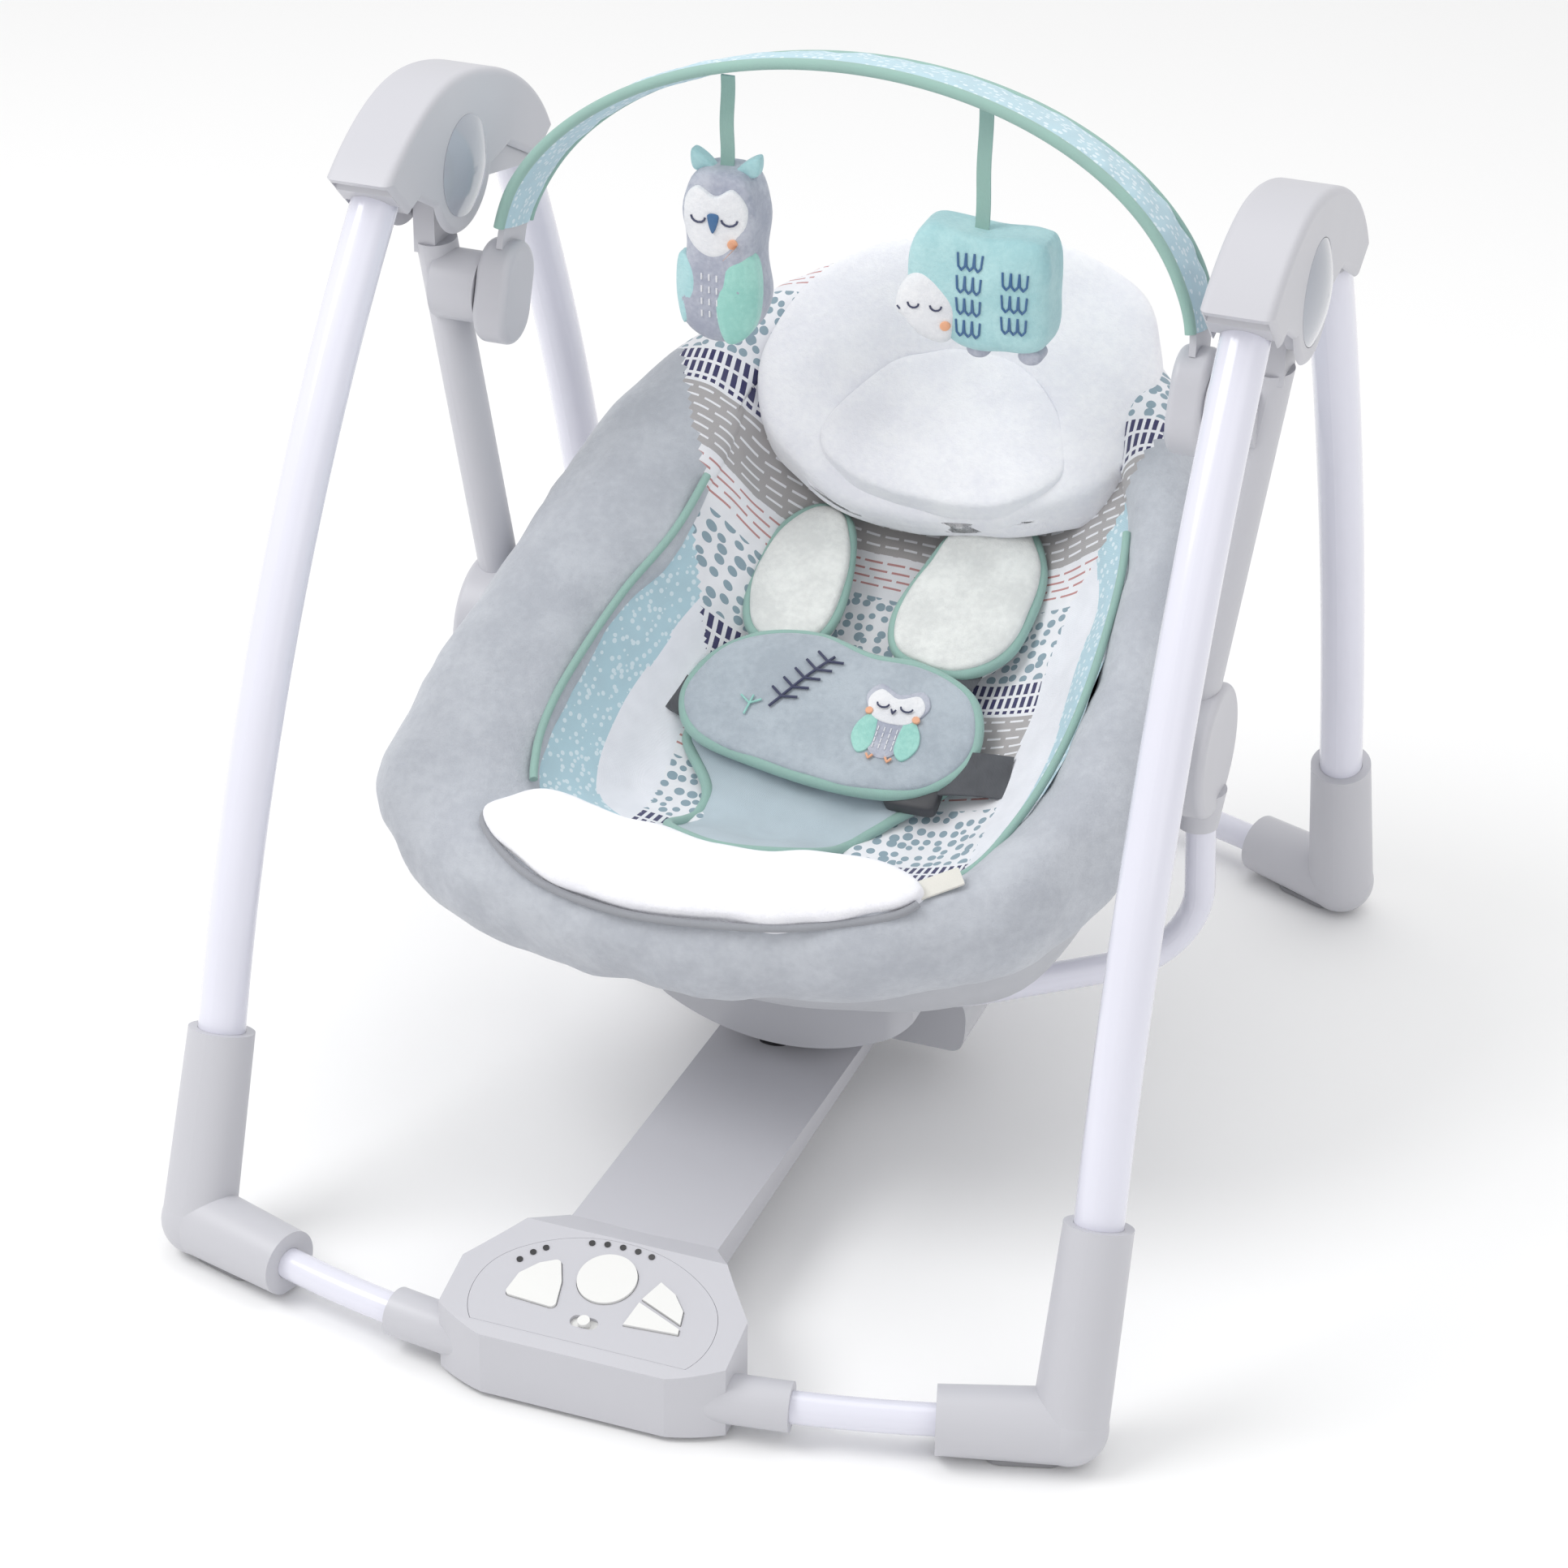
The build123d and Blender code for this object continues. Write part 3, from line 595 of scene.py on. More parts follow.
class Effects:
    """Shader node groups that more than one finish uses, each built once."""

    made: dict[str, bpy.types.NodeTree] = {}

    @classmethod
    def start(cls, name: str, inputs: dict[str, object], outputs: dict[str, str]) -> Graph:
        """Opens a new group with its sockets.

        Args:
            name: the group's name.
            inputs: socket names with their first values.
            outputs: socket names with their kinds.

        Returns:
            A graph on the new group.
        """
        tree = bpy.data.node_groups.new(name, "ShaderNodeTree")
        for label, value in inputs.items():
            kind = "NodeSocketFloat"
            if isinstance(value, tuple):
                kind = "NodeSocketColor" if len(value) == 4 else "NodeSocketVector"
            socket = tree.interface.new_socket(label, in_out="INPUT", socket_type=kind)
            socket.default_value = value
        for label, kind in outputs.items():
            tree.interface.new_socket(label, in_out="OUTPUT", socket_type=kind)
        cls.made[name] = tree
        return Graph(tree)

    @classmethod
    def moulding(cls) -> bpy.types.NodeTree:
        """Moulded plastic: faint grain, uneven gloss and a little dust in the colour.

        Returns:
            the group.
        """
        if "moulding" in cls.made:
            return cls.made["moulding"]
        first = {"Vector": (0.0, 0.0, 0.0), "Base": (0.5, 0.5, 0.5, 1.0), "Roughness": 0.4, "Grain": 1.0}
        last = {"Color": "NodeSocketColor", "Roughness": "NodeSocketFloat", "Height": "NodeSocketFloat"}
        graph = cls.start("moulding", first, last)
        given = graph.node("NodeGroupInput").outputs
        result = graph.node("NodeGroupOutput").inputs
        broad = graph.noise(given["Vector"], 14.0, 3.0)
        fine = graph.noise(given["Vector"], 1400.0, 2.0)
        shade = graph.math("MULTIPLY", graph.math("SUBTRACT", broad, 0.5), 0.10)
        dark = graph.mix(graph.math("ADD", shade, 0.03), given["Base"], (0.42, 0.42, 0.43, 1.0))
        graph.feed(dark, result["Color"])
        uneven = graph.math("MULTIPLY", graph.math("SUBTRACT", broad, 0.5), 0.16)
        graph.feed(graph.math("ADD", given["Roughness"], uneven), result["Roughness"])
        graph.feed(graph.math("MULTIPLY", fine, given["Grain"]), result["Height"])
        return cls.made["moulding"]

    @classmethod
    def pile(cls) -> bpy.types.NodeTree:
        """Plush pile: brushed patches in the colour, and fibres and lumps in the height.

        Returns:
            the group.
        """
        if "pile" in cls.made:
            return cls.made["pile"]
        greys = {"Base": (0.5, 0.5, 0.5, 1.0), "Deep": (0.3, 0.3, 0.3, 1.0)}
        first = {"Vector": (0.0, 0.0, 0.0), **greys, "Scale": 1.0}
        graph = cls.start("pile", first, {"Color": "NodeSocketColor", "Height": "NodeSocketFloat"})
        given = graph.node("NodeGroupInput").outputs
        result = graph.node("NodeGroupOutput").inputs
        scaled = graph.node("ShaderNodeVectorMath", operation="SCALE")
        graph.feed(given["Vector"], scaled.inputs[0])
        graph.feed(given["Scale"], scaled.inputs["Scale"])
        where = scaled.outputs[0]
        fibres = graph.noise(where, 900.0, 4.0)
        tufts = graph.noise(where, 190.0, 3.0)
        brushed = graph.noise(where, 26.0, 3.0)
        fine = graph.math("MULTIPLY", fibres, 0.5)
        middle = graph.math("MULTIPLY", tufts, 0.9)
        graph.feed(graph.math("ADD", fine, middle), result["Height"])
        patch = graph.step(graph.math("ADD", graph.math("MULTIPLY", tufts, 0.55), brushed), 0.55, 1.05)
        graph.feed(graph.mix(patch, given["Deep"], given["Base"]), result["Color"])
        return cls.made["pile"]

    @classmethod
    def cloth(cls) -> bpy.types.NodeTree:
        """Woven or knitted cloth: a fine crossed weave in the height, with a slight mottle.

        Returns:
            the group.
        """
        if "cloth" in cls.made:
            return cls.made["cloth"]
        first = {"Vector": (0.0, 0.0, 0.0), "Base": (0.5, 0.5, 0.5, 1.0), "Pitch": 0.0009}
        graph = cls.start("cloth", first, {"Color": "NodeSocketColor", "Height": "NodeSocketFloat"})
        given = graph.node("NodeGroupInput").outputs
        result = graph.node("NodeGroupOutput").inputs
        x, y, z = graph.split(given["Vector"])
        turn = graph.math("DIVIDE", math.tau, given["Pitch"])
        warp = graph.math("SINE", graph.math("MULTIPLY", graph.math("ADD", x, z), turn))
        weft = graph.math("SINE", graph.math("MULTIPLY", graph.math("SUBTRACT", y, z), turn))
        weave = graph.math("MULTIPLY", graph.math("MULTIPLY", warp, weft), 0.5)
        slub = graph.noise(given["Vector"], 60.0, 3.0)
        graph.feed(graph.math("ADD", weave, slub), result["Height"])
        shade = graph.math("MULTIPLY", graph.math("ADD", graph.math("SUBTRACT", slub, 0.5), 0.25), 0.28)
        graph.feed(graph.mix(shade, given["Base"], (0.30, 0.32, 0.36, 1.0)), result["Color"])
        return cls.made["cloth"]

    @classmethod
    def dashes(cls) -> bpy.types.NodeTree:
        """A mask of short strokes in staggered rows.

        Returns:
            the group.
        """
        if "dashes" in cls.made:
            return cls.made["dashes"]
        first = {"X": 0.0, "Y": 0.0, "Length": 0.012, "Pitch": 0.0055, "Duty": 0.7, "Weight": 0.3}
        graph = cls.start("dashes", first, {"Mask": "NodeSocketFloat"})
        given = graph.node("NodeGroupInput").outputs
        result = graph.node("NodeGroupOutput").inputs
        row = graph.math("DIVIDE", given["Y"], given["Pitch"])
        index = graph.math("FLOOR", row)
        random = graph.node("ShaderNodeTexWhiteNoise", noise_dimensions="1D")
        graph.feed(index, random.inputs["W"])
        length = graph.math("DIVIDE", given["X"], given["Length"])
        shifted = graph.math("ADD", length, random.outputs["Value"])
        along = graph.math("FRACT", shifted)
        across = graph.math("ABSOLUTE", graph.math("SUBTRACT", graph.math("FRACT", row), 0.5))
        inside = graph.math("LESS_THAN", along, given["Duty"])
        thin = graph.math("LESS_THAN", across, graph.math("MULTIPLY", given["Weight"], 0.5))
        graph.feed(graph.math("MULTIPLY", inside, thin), result["Mask"])
        return cls.made["dashes"]

    @classmethod
    def dots(cls) -> bpy.types.NodeTree:
        """A mask of scattered round dots of uneven size.

        Returns:
            the group.
        """
        if "dots" in cls.made:
            return cls.made["dots"]
        first = {"X": 0.0, "Y": 0.0, "Pitch": 0.007, "Size": 0.3, "Scatter": 0.5}
        graph = cls.start("dots", first, {"Mask": "NodeSocketFloat"})
        given = graph.node("NodeGroupInput").outputs
        result = graph.node("NodeGroupOutput").inputs
        across, along = (graph.math("DIVIDE", given[side], given["Pitch"]) for side in ("X", "Y"))
        where = graph.merge(across, along, 0.0)
        cells = graph.cells(where, 1.0)
        graph.feed(given["Scatter"], cells.inputs["Randomness"])
        cells.voronoi_dimensions = "2D"
        part = graph.split(cells.outputs["Color"])[0]
        reach = graph.math("MULTIPLY", given["Size"], graph.math("ADD", graph.math("MULTIPLY", part, 0.5), 0.7))
        graph.feed(graph.math("LESS_THAN", cells.outputs["Distance"], reach), result["Mask"])
        return cls.made["dots"]


class Material:
    """A material under construction: its graph, its shader and its Object coordinates."""

    def __init__(self, name: str) -> None:
        """Opens a new material with one Principled shader.

        Args:
            name: the material's name.
        """
        self.data = bpy.data.materials.new(name)
        self.data.use_nodes = True
        self.graph = Graph(self.data.node_tree)
        self.shader = self.data.node_tree.nodes["Principled BSDF"]
        self.place = self.graph.node("ShaderNodeTexCoord").outputs["Object"]

    def set(self, **values: object) -> "Material":
        """Sets plain values, or links, on the shader's sockets.

        Args:
            values: the values that go in.

        Returns:
            this material.
        """
        for name, value in values.items():
            self.graph.feed(value, self.shader.inputs[name.replace("_", " ")])
        return self


@dataclass(frozen=True)
class Plastic:
    """A moulded plastic or painted finish."""

    name: str
    base: Colour
    roughness: float = 0.42
    grain: float = 1.0
    coat: float = 0.0
    metallic: float = 0.0

    def build(self) -> bpy.types.Material:
        """Builds the material.

        Returns:
            the material.
        """
        made = Material(self.name)
        effect = made.graph.group(
            Effects.moulding(), Vector=made.place, Base=self.base, Roughness=self.roughness, Grain=self.grain
        )
        made.set(
            Base_Color=effect.outputs["Color"],
            Roughness=effect.outputs["Roughness"],
            Metallic=self.metallic,
            Coat_Weight=self.coat,
            Coat_Roughness=0.12,
            Normal=made.graph.bump(effect.outputs["Height"], 0.12, 0.00012),
        )
        return made.data


@dataclass(frozen=True)
class Plush:
    """A soft pile finish."""

    name: str
    base: Colour
    deep: Colour
    scale: float = 1.0
    sheen: float = 0.35

    def build(self) -> bpy.types.Material:
        """Builds the material.

        Returns:
            the material.
        """
        made = Material(self.name)
        effect = made.graph.group(
            Effects.pile(), Vector=made.place, Base=self.base, Deep=self.deep, Scale=self.scale
        )
        made.set(
            Base_Color=effect.outputs["Color"],
            Roughness=0.95,
            Sheen_Weight=self.sheen,
            Sheen_Roughness=0.5,
            Normal=made.graph.bump(effect.outputs["Height"], 0.55, 0.0011),
        )
        return made.data


@dataclass(frozen=True)
class Cloth:
    """A plain woven or knitted finish, which may carry scattered pale dots."""

    name: str
    base: Colour
    dots: Colour | None = None
    pitch: float = 0.0009

    def build(self) -> bpy.types.Material:
        """Builds the material.

        Returns:
            the material.
        """
        made = Material(self.name)
        graph = made.graph
        effect = graph.group(Effects.cloth(), Vector=made.place, Base=self.base, Pitch=self.pitch)
        tone = effect.outputs["Color"]
        if self.dots is not None:
            cells = graph.cells(made.place, 210.0, 0.75)
            mask = graph.math("LESS_THAN", cells.outputs["Distance"], 0.34)
            tone = graph.mix(graph.math("MULTIPLY", mask, 0.8), tone, self.dots)
        made.set(
            Base_Color=tone,
            Roughness=0.88,
            Sheen_Weight=0.2,
            Normal=graph.bump(effect.outputs["Height"], 0.35, 0.0004),
        )
        return made.data


@dataclass(frozen=True)
class Print:
    """The seat's printed cloth: bands of strokes and dots that repeat along the seat."""

    name: str
    repeat: float = 0.147
    start: float = 0.136
    ground: Colour = field(default_factory=lambda: colour(243, 243, 247))
    navy: Colour = field(default_factory=lambda: colour(52, 50, 96))
    band: Colour = field(default_factory=lambda: colour(178, 174, 174))
    rose: Colour = field(default_factory=lambda: colour(196, 140, 138))
    spot: Colour = field(default_factory=lambda: colour(144, 166, 178))

    def build(self) -> bpy.types.Material:
        """Builds the material, in the seat's own plane.

        Returns:
            the material.
        """
        made = Material(self.name)
        graph = made.graph
        turned = graph.node("ShaderNodeMapping", vector_type="TEXTURE")
        graph.feed(made.place, turned.inputs["Vector"])
        turned.inputs["Location"].default_value = SEAT_MIDDLE
        turned.inputs["Rotation"].default_value = (SEAT_TILT, 0, 0)
        x, along, _ = graph.split(turned.outputs[0])
        wobble = graph.math("MULTIPLY", graph.math("SUBTRACT", graph.noise(made.place, 9.0), 0.5), 0.010)
        down = graph.math("ADD", graph.math("SUBTRACT", self.start, along), wobble)
        share = graph.math("FRACT", graph.math("DIVIDE", down, self.repeat))
        local = graph.math("MULTIPLY", share, self.repeat)
        straight = graph.math("LESS_THAN", graph.math("FRACT", graph.math("DIVIDE", local, 0.0098)), 0.80)
        bars = graph.math("LESS_THAN", graph.math("FRACT", graph.math("DIVIDE", x, 0.0050)), 0.56)
        strokes = graph.math("MULTIPLY", straight, bars)
        in_navy = graph.math("MULTIPLY", strokes, self.between(graph, share, 0.0, 0.15))
        white = graph.group(Effects.dashes(), X=x, Y=local, Length=0.0125, Pitch=0.0062, Duty=0.72, Weight=0.24)
        rose = graph.group(Effects.dashes(), X=x, Y=local, Length=0.0150, Pitch=0.0056, Duty=0.80, Weight=0.26)
        dots = graph.group(Effects.dots(), X=x, Y=local, Pitch=0.0078, Size=0.36, Scatter=0.62)
        in_band = self.between(graph, share, 0.165, 0.44)
        tone = graph.mix(in_navy, self.ground, self.navy)
        tone = graph.mix(in_band, tone, self.band)
        tone = graph.mix(graph.math("MULTIPLY", in_band, white.outputs[0]), tone, self.ground)
        in_rose = graph.math("MULTIPLY", rose.outputs[0], self.between(graph, share, 0.46, 0.62))
        tone = graph.mix(in_rose, tone, self.rose)
        in_dots = graph.math("MULTIPLY", dots.outputs[0], self.between(graph, share, 0.65, 0.985))
        tone = graph.mix(in_dots, tone, self.spot)
        effect = graph.group(Effects.cloth(), Vector=made.place, Base=tone, Pitch=0.0008)
        made.set(
            Base_Color=effect.outputs["Color"],
            Roughness=0.85,
            Sheen_Weight=0.15,
            Normal=graph.bump(effect.outputs["Height"], 0.3, 0.0004),
        )
        return made.data

    @staticmethod
    def between(graph: Graph, share: bpy.types.NodeSocket, low: float, high: float) -> bpy.types.NodeSocket:
        """A mask of 1 where the share lies between two values.

        Args:
            graph: the graph.
            share: the share that is tested.
            low: the lower value.
            high: the upper value.

        Returns:
            the mask or band in between.
        """
        above = graph.math("GREATER_THAN", share, low)
        return graph.math("MULTIPLY", above, graph.math("LESS_THAN", share, high))


class Palette(Enum):
    """The finishes of this swing."""

    BODY = Plastic("body_plastic", colour(196, 196, 202), 0.40)
    TUBE = Plastic("tube_enamel", colour(226, 226, 238), 0.20, 0.2, 0.6)
    CAP = Plastic("cap_gloss", colour(168, 172, 182), 0.16, 0.1, 0.8)
    HOUSING = Plastic("housing_gloss", colour(190, 191, 197), 0.22, 0.3, 0.5)
    KEY = Plastic("key_plastic", colour(232, 232, 230), 0.45)
    DARK = Plastic("dark_gloss", colour(24, 24, 28), 0.12, 0.1, 0.7)
    BUCKLE = Plastic("buckle_plastic", colour(58, 58, 62), 0.5)
    RUBBER = Plastic("foot_rubber", colour(150, 150, 154), 0.85, 2.0)
    STEEL = Plastic("plated_steel", colour(178, 180, 184), 0.3, 0.5, 0.0, 1.0)
    PLUSH = Plush("grey_plush", colour(191, 195, 202), colour(177, 181, 189))
    BELLY = Plush("belly_plush", colour(180, 189, 197), colour(164, 173, 182), 1.2)
    MINKY = Plush("white_plush", colour(247, 247, 250), colour(238, 238, 244), 1.3, 0.3)
    OFFWHITE = Plush("strap_plush", colour(232, 234, 231), colour(214, 216, 214), 1.3, 0.3)
    BLUE = Cloth("dotted_blue", colour(186, 216, 227), colour(228, 240, 246))
    SKIRT = Cloth("skirt_cloth", colour(190, 192, 198))
    GREEN = Cloth("green_trim", colour(150, 186, 176))
    WHITE = Cloth("white_cloth", colour(242, 243, 249))
    LINEN = Cloth("crotch_cloth", colour(186, 200, 208))
    WEB = Cloth("webbing", colour(74, 75, 79), None, 0.0022)
    TRIM = Cloth("grey_trim", colour(150, 152, 158))
    PRINT = Print("seat_print")
    TEAL = Plush("toy_teal", colour(182, 219, 221), colour(164, 206, 210), 1.8)
    MINT = Plush("toy_mint", colour(168, 218, 207), colour(148, 203, 193), 1.8)
    TOYGREY = Plush("toy_grey", colour(190, 193, 204), colour(160, 164, 180), 1.8)
    TOYWHITE = Plush("toy_white", colour(236, 236, 238), colour(224, 225, 229), 1.8)
    THREAD = Cloth("blue_thread", colour(60, 104, 150))
    INK = Cloth("dark_thread", colour(58, 62, 92))
    PEACH = Cloth("peach_thread", colour(240, 178, 140))
    LABEL = Cloth("blank_label", colour(226, 224, 216))


class Shop:
    """Keeps each finish's material, built once, and dresses pieces with them."""

    stock: dict[str, bpy.types.Material] = {}

    @classmethod
    def material(cls, finish: Palette) -> bpy.types.Material:
        """The material of a finish.

        Args:
            finish: the finish.

        Returns:
            the material.
        """
        if finish.name not in cls.stock:
            cls.stock[finish.name] = finish.value.build()
        return cls.stock[finish.name]

    @classmethod
    def dress(cls, piece: bpy.types.Object, *finishes: Palette) -> None:
        """Gives a piece its finishes, one per material slot.

        Args:
            piece: the piece.
            finishes: the finishes, one per material slot.
        """
        piece.data.materials.clear()
        for finish in finishes:
            piece.data.materials.append(cls.material(finish))

    @classmethod
    def deliver(cls, piece: bpy.types.Object, body: str, slot: str, padded: float | None = None) -> None:
        """Args:
            piece: the piece.
            body: the body that it moves with.
            slot: a material slot's name, which is not used.
            padded: how full it is, or None if it is not padded; not used.
        """
        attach(piece, body)
        log.info("%s rides on %s", piece.name, body)


@dataclass
class Hardware:
    """The CAD nodes whose shape is final, dressed in their finishes."""

    finishes: dict[Palette, tuple[str, ...]] = field(
        default_factory=lambda: {
            Palette.TUBE: ("leg_right", "leg_left", "cross_tube", "seat_tube", "support_tube"),
            Palette.CAP: ("pivot_caps", "release_button"),
            Palette.HOUSING: ("drive_housing", "drive_head"),
            Palette.KEY: ("speed_", "timer_", "melody_", "volume_", "power_"),
            Palette.DARK: ("sensor_window", "indicator_lights"),
            Palette.RUBBER: ("foot_pads",),
            Palette.STEEL: ("axles", "pivots", "seat_ring", "screws", "batteries", "coil", "magnet"),
        }
    )

    def build(self) -> None:
        """Dresses every shown node."""
        for name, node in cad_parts.items():
            if node.hide_render:
                continue
            found = [
                finish for finish, words in self.finishes.items() if any(word in name for word in words)
            ]
            Shop.dress(node, found[0] if found else Palette.BODY)
            Bench.soften(node, 32)
            log.info("dressed %s", name)


@dataclass
class Band:
    """One loop of the seat: a share of the way from its outline to the middle, and a depth."""

    share: float
    depth: float

    @staticmethod
    def between(bands: Sequence["Band"], share: float) -> "Band":
        """A band on the smooth run through a row of bands.

        Args:
            bands: the bands, in order.
            share: the share of the way, 0 to 1.

        Returns:
            the mask or band in between.
        """
        where = share * (len(bands) - 1)
        index = min(int(where), len(bands) - 2)
        part = where - index
        row = [bands[max(0, min(len(bands) - 1, index + k))] for k in (-1, 0, 1, 2)]
        return Band(*(blend(values, part) for values in zip(*((band.share, band.depth) for band in row))))


@dataclass
class Seat:
    """The padded bucket: puffy rim, printed liner, side wings, skirt, edging and label.

    Share 0 of a band is the seat's outline, 1 the edging at the rim's inner edge, and 2 the
    middle of the seat.
    """

    outline: tuple[Flat, ...] = (
        (0.225, -0.030), (0.219, 0.040), (0.200, 0.110), (0.166, 0.176), (0.112, 0.226),
        (0.040, 0.247), (-0.036, 0.240), (-0.100, 0.212), (-0.152, 0.158), (-0.186, 0.090),
        (-0.205, 0.020), (-0.217, -0.050), (-0.232, -0.116), (-0.238, -0.170), (-0.226, -0.214),
        (-0.190, -0.250), (-0.130, -0.270), (-0.060, -0.278), (0.010, -0.276), (0.080, -0.264),
        (0.146, -0.238), (0.196, -0.196), (0.222, -0.144), (0.228, -0.088),
    )
    inner: tuple[Flat, ...] = (
        (0.174, -0.030), (0.170, 0.040), (0.156, 0.096), (0.132, 0.146), (0.092, 0.182),
        (0.038, 0.200), (-0.020, 0.196), (-0.066, 0.172), (-0.096, 0.128), (-0.102, 0.072),
        (-0.110, 0.012), (-0.127, -0.040), (-0.138, -0.090), (-0.143, -0.130), (-0.140, -0.164),
        (-0.128, -0.190), (-0.090, -0.206), (-0.046, -0.212), (0.006, -0.212), (0.056, -0.208),
        (0.104, -0.204), (0.140, -0.186), (0.160, -0.142), (0.171, -0.090),
    )
    middle: Flat = (0.014, -0.030)
    rim: tuple[Band, ...] = (
        Band(0.34, -0.064),
        Band(0.06, -0.052),
        Band(-0.03, -0.026),
        Band(0.10, 0.000),
        Band(0.42, 0.013),
        Band(0.76, 0.008),
        Band(1.00, -0.010),
        Band(0.96, -0.028),
    )
    liner: tuple[Band, ...] = (
        Band(0.97, -0.008),
        Band(1.06, -0.026),
        Band(1.16, -0.048),
        Band(1.30, -0.070),
        Band(1.52, -0.086),
        Band(1.78, -0.090),
        Band(1.996, -0.090),
    )
    shell: tuple[Band, ...] = (
        Band(0.30, -0.056),
        Band(0.34, -0.080),
        Band(0.50, -0.108),
        Band(0.80, -0.138),
        Band(1.20, -0.160),
        Band(1.60, -0.170),
        Band(1.996, -0.171),
    )

    def build(self) -> None:
        """Builds the seat's pieces and hides the CAD cushion."""
        rim = self.loft("seat_rim", self.rim, 300, 56)
        Bench.rumple(rim, 0.0060, 0.060, 3.0)
        Bench.rumple(rim, 0.0016, 0.018, 9.0)
        Shop.dress(rim, Palette.PLUSH, Palette.PRINT)
        self.paint(rim, self.rim_zone)
        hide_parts("seat_cushion", "seat_ring")
        Shop.deliver(rim, "seat", "grey_plush", 0.8)
        liner = self.loft("seat_liner", self.liner, 300, 100)
        Bench.rumple(liner, 0.0040, 0.045, 5.0)
        Shop.dress(liner, Palette.PRINT, Palette.WHITE, Palette.BLUE)
        self.paint(liner, self.liner_zone)
        Shop.deliver(liner, "seat", "grey_plush", 0.5)
        shell = self.loft("seat_shell", self.shell, 160, 40)
        Bench.rumple(shell, 0.0030, 0.06, 7.0)
        Shop.dress(shell, Palette.SKIRT)
        Shop.deliver(shell, "seat", "grey_plush", 0.5)
        self.edging()

    def at(self, turn: float, band: Band) -> Vector:
        """A point of the seat at a share of the way round, on a band.

        Args:
            turn: the share of the way round, 0 to 1.
            band: the band.

        Returns:
            the point.
        """
        outer, inner = Loop(self.outline).at(turn), Loop(self.inner).at(turn)
        if band.share <= 1:
            x = outer[0] + (inner[0] - outer[0]) * band.share
            along = outer[1] + (inner[1] - outer[1]) * band.share
        else:
            x = inner[0] + (self.middle[0] - inner[0]) * (band.share - 1)
            along = inner[1] + (self.middle[1] - inner[1]) * (band.share - 1)
        return seat_place(x, along, band.depth)

    def loft(self, name: str, bands: Sequence[Band], around: int, across: int) -> bpy.types.Object:
        """A closed strip through bands.

        Args:
            name: the piece's name.
            bands: the bands, in order.
            around: faces round it.
            across: faces across it.

        Returns:
            the strip.
        """
        return Bench.sheet(name, around, across, lambda p, q: self.at(p, Band.between(bands, q)))

    @staticmethod
    def local(point: Vector) -> Point:
        """A point in the seat's own frame.

        Args:
            point: the point.

        Returns:
            its distance across, along and up.
        """
        offset = point - SEAT_MIDDLE
        return offset.x, offset.dot(SEAT_ALONG), offset.dot(SEAT_NORMAL)

    def paint(self, piece: bpy.types.Object, zone: Callable[[float, float, float], int]) -> None:
        """Gives each face the material of its zone.

        Args:
            piece: the piece.
            zone: gives a material slot from across, along and up.
        """
        for face in piece.data.polygons:
            face.material_index = zone(*self.local(face.center))

    @staticmethod
    def rim_zone(x: float, along: float, height: float) -> int:
        """Printed cloth at the head, plush elsewhere.

        Args:
            x: distance across, in metres.
            along: distance along the seat, in metres.
            height: distance above the seat's plane, in metres.

        Returns:
            the material slot.
        """
        side = -x if x < 0 else x - 0.030
        limit = 0.043 + (side - 0.100) * 1.95
        return 1 if along > limit and height > -0.034 else 0

    @staticmethod
    def liner_zone(x: float, along: float, height: float) -> int:
        """Print in the middle, white wings beside it, dotted blue next to the edging.

        Args:
            x: distance across, in metres.
            along: distance along the seat, in metres.
            height: distance above the seat's plane, in metres.

        Returns:
            the material slot.
        """
        limit = 0.086 + 0.33 * max(0.0, along + 0.037) if x < 0 else 0.126 + 0.10 * max(0.0, along)
        side = -x if x < 0 else x - 0.030
        if abs(x) < limit or along < -0.180 or along > 0.043 + (side - 0.100) * 1.95:
            return 0
        return 2 if height > (-0.046 if x < 0 else -0.040) else 1

    def edging(self) -> None:
        """Green edging along both sides of the liner, and a blank label."""
        for name, start, end in (("left", 9.3 / 24, 14.6 / 24), ("right", 20.8 / 24, 25.4 / 24)):
            steps = 90
            band = Band(1.0, -0.004)
            points = [self.at(start + (end - start) * step / steps, band) for step in range(steps + 1)]
            cord = Bench.cord(f"edging_{name}", points, 0.0026, False)
            Shop.dress(cord, Palette.GREEN)
            Shop.deliver(cord, "seat", "green_fabric")
        self.label()

    def label(self) -> None:
        """A small folded label with nothing on it, sewn to the rim's inner edge."""
        Bench.clear()
        bpy.ops.mesh.primitive_cube_add(size=1)
        label = Bench.take("blank_label")
        Bench.modify(label, "BEVEL", width=0.06, segments=2)
        turn = Matrix.Rotation(0.62, 3, SEAT_NORMAL)
        across, along = turn @ Vector((1, 0, 0)), turn @ SEAT_ALONG
        spot = seat_place(0.132, -0.206, 0.014)
        long, wide, thick = 0.028, 0.012, 0.0018
        Bench.shape(
            label,
            lambda co: spot + across * co.x * long + along * co.y * wide + SEAT_NORMAL * co.z * thick,
        )
        Bench.tidy(label)
        Shop.dress(label, Palette.LABEL)
        Shop.deliver(label, "seat", "white_plush")


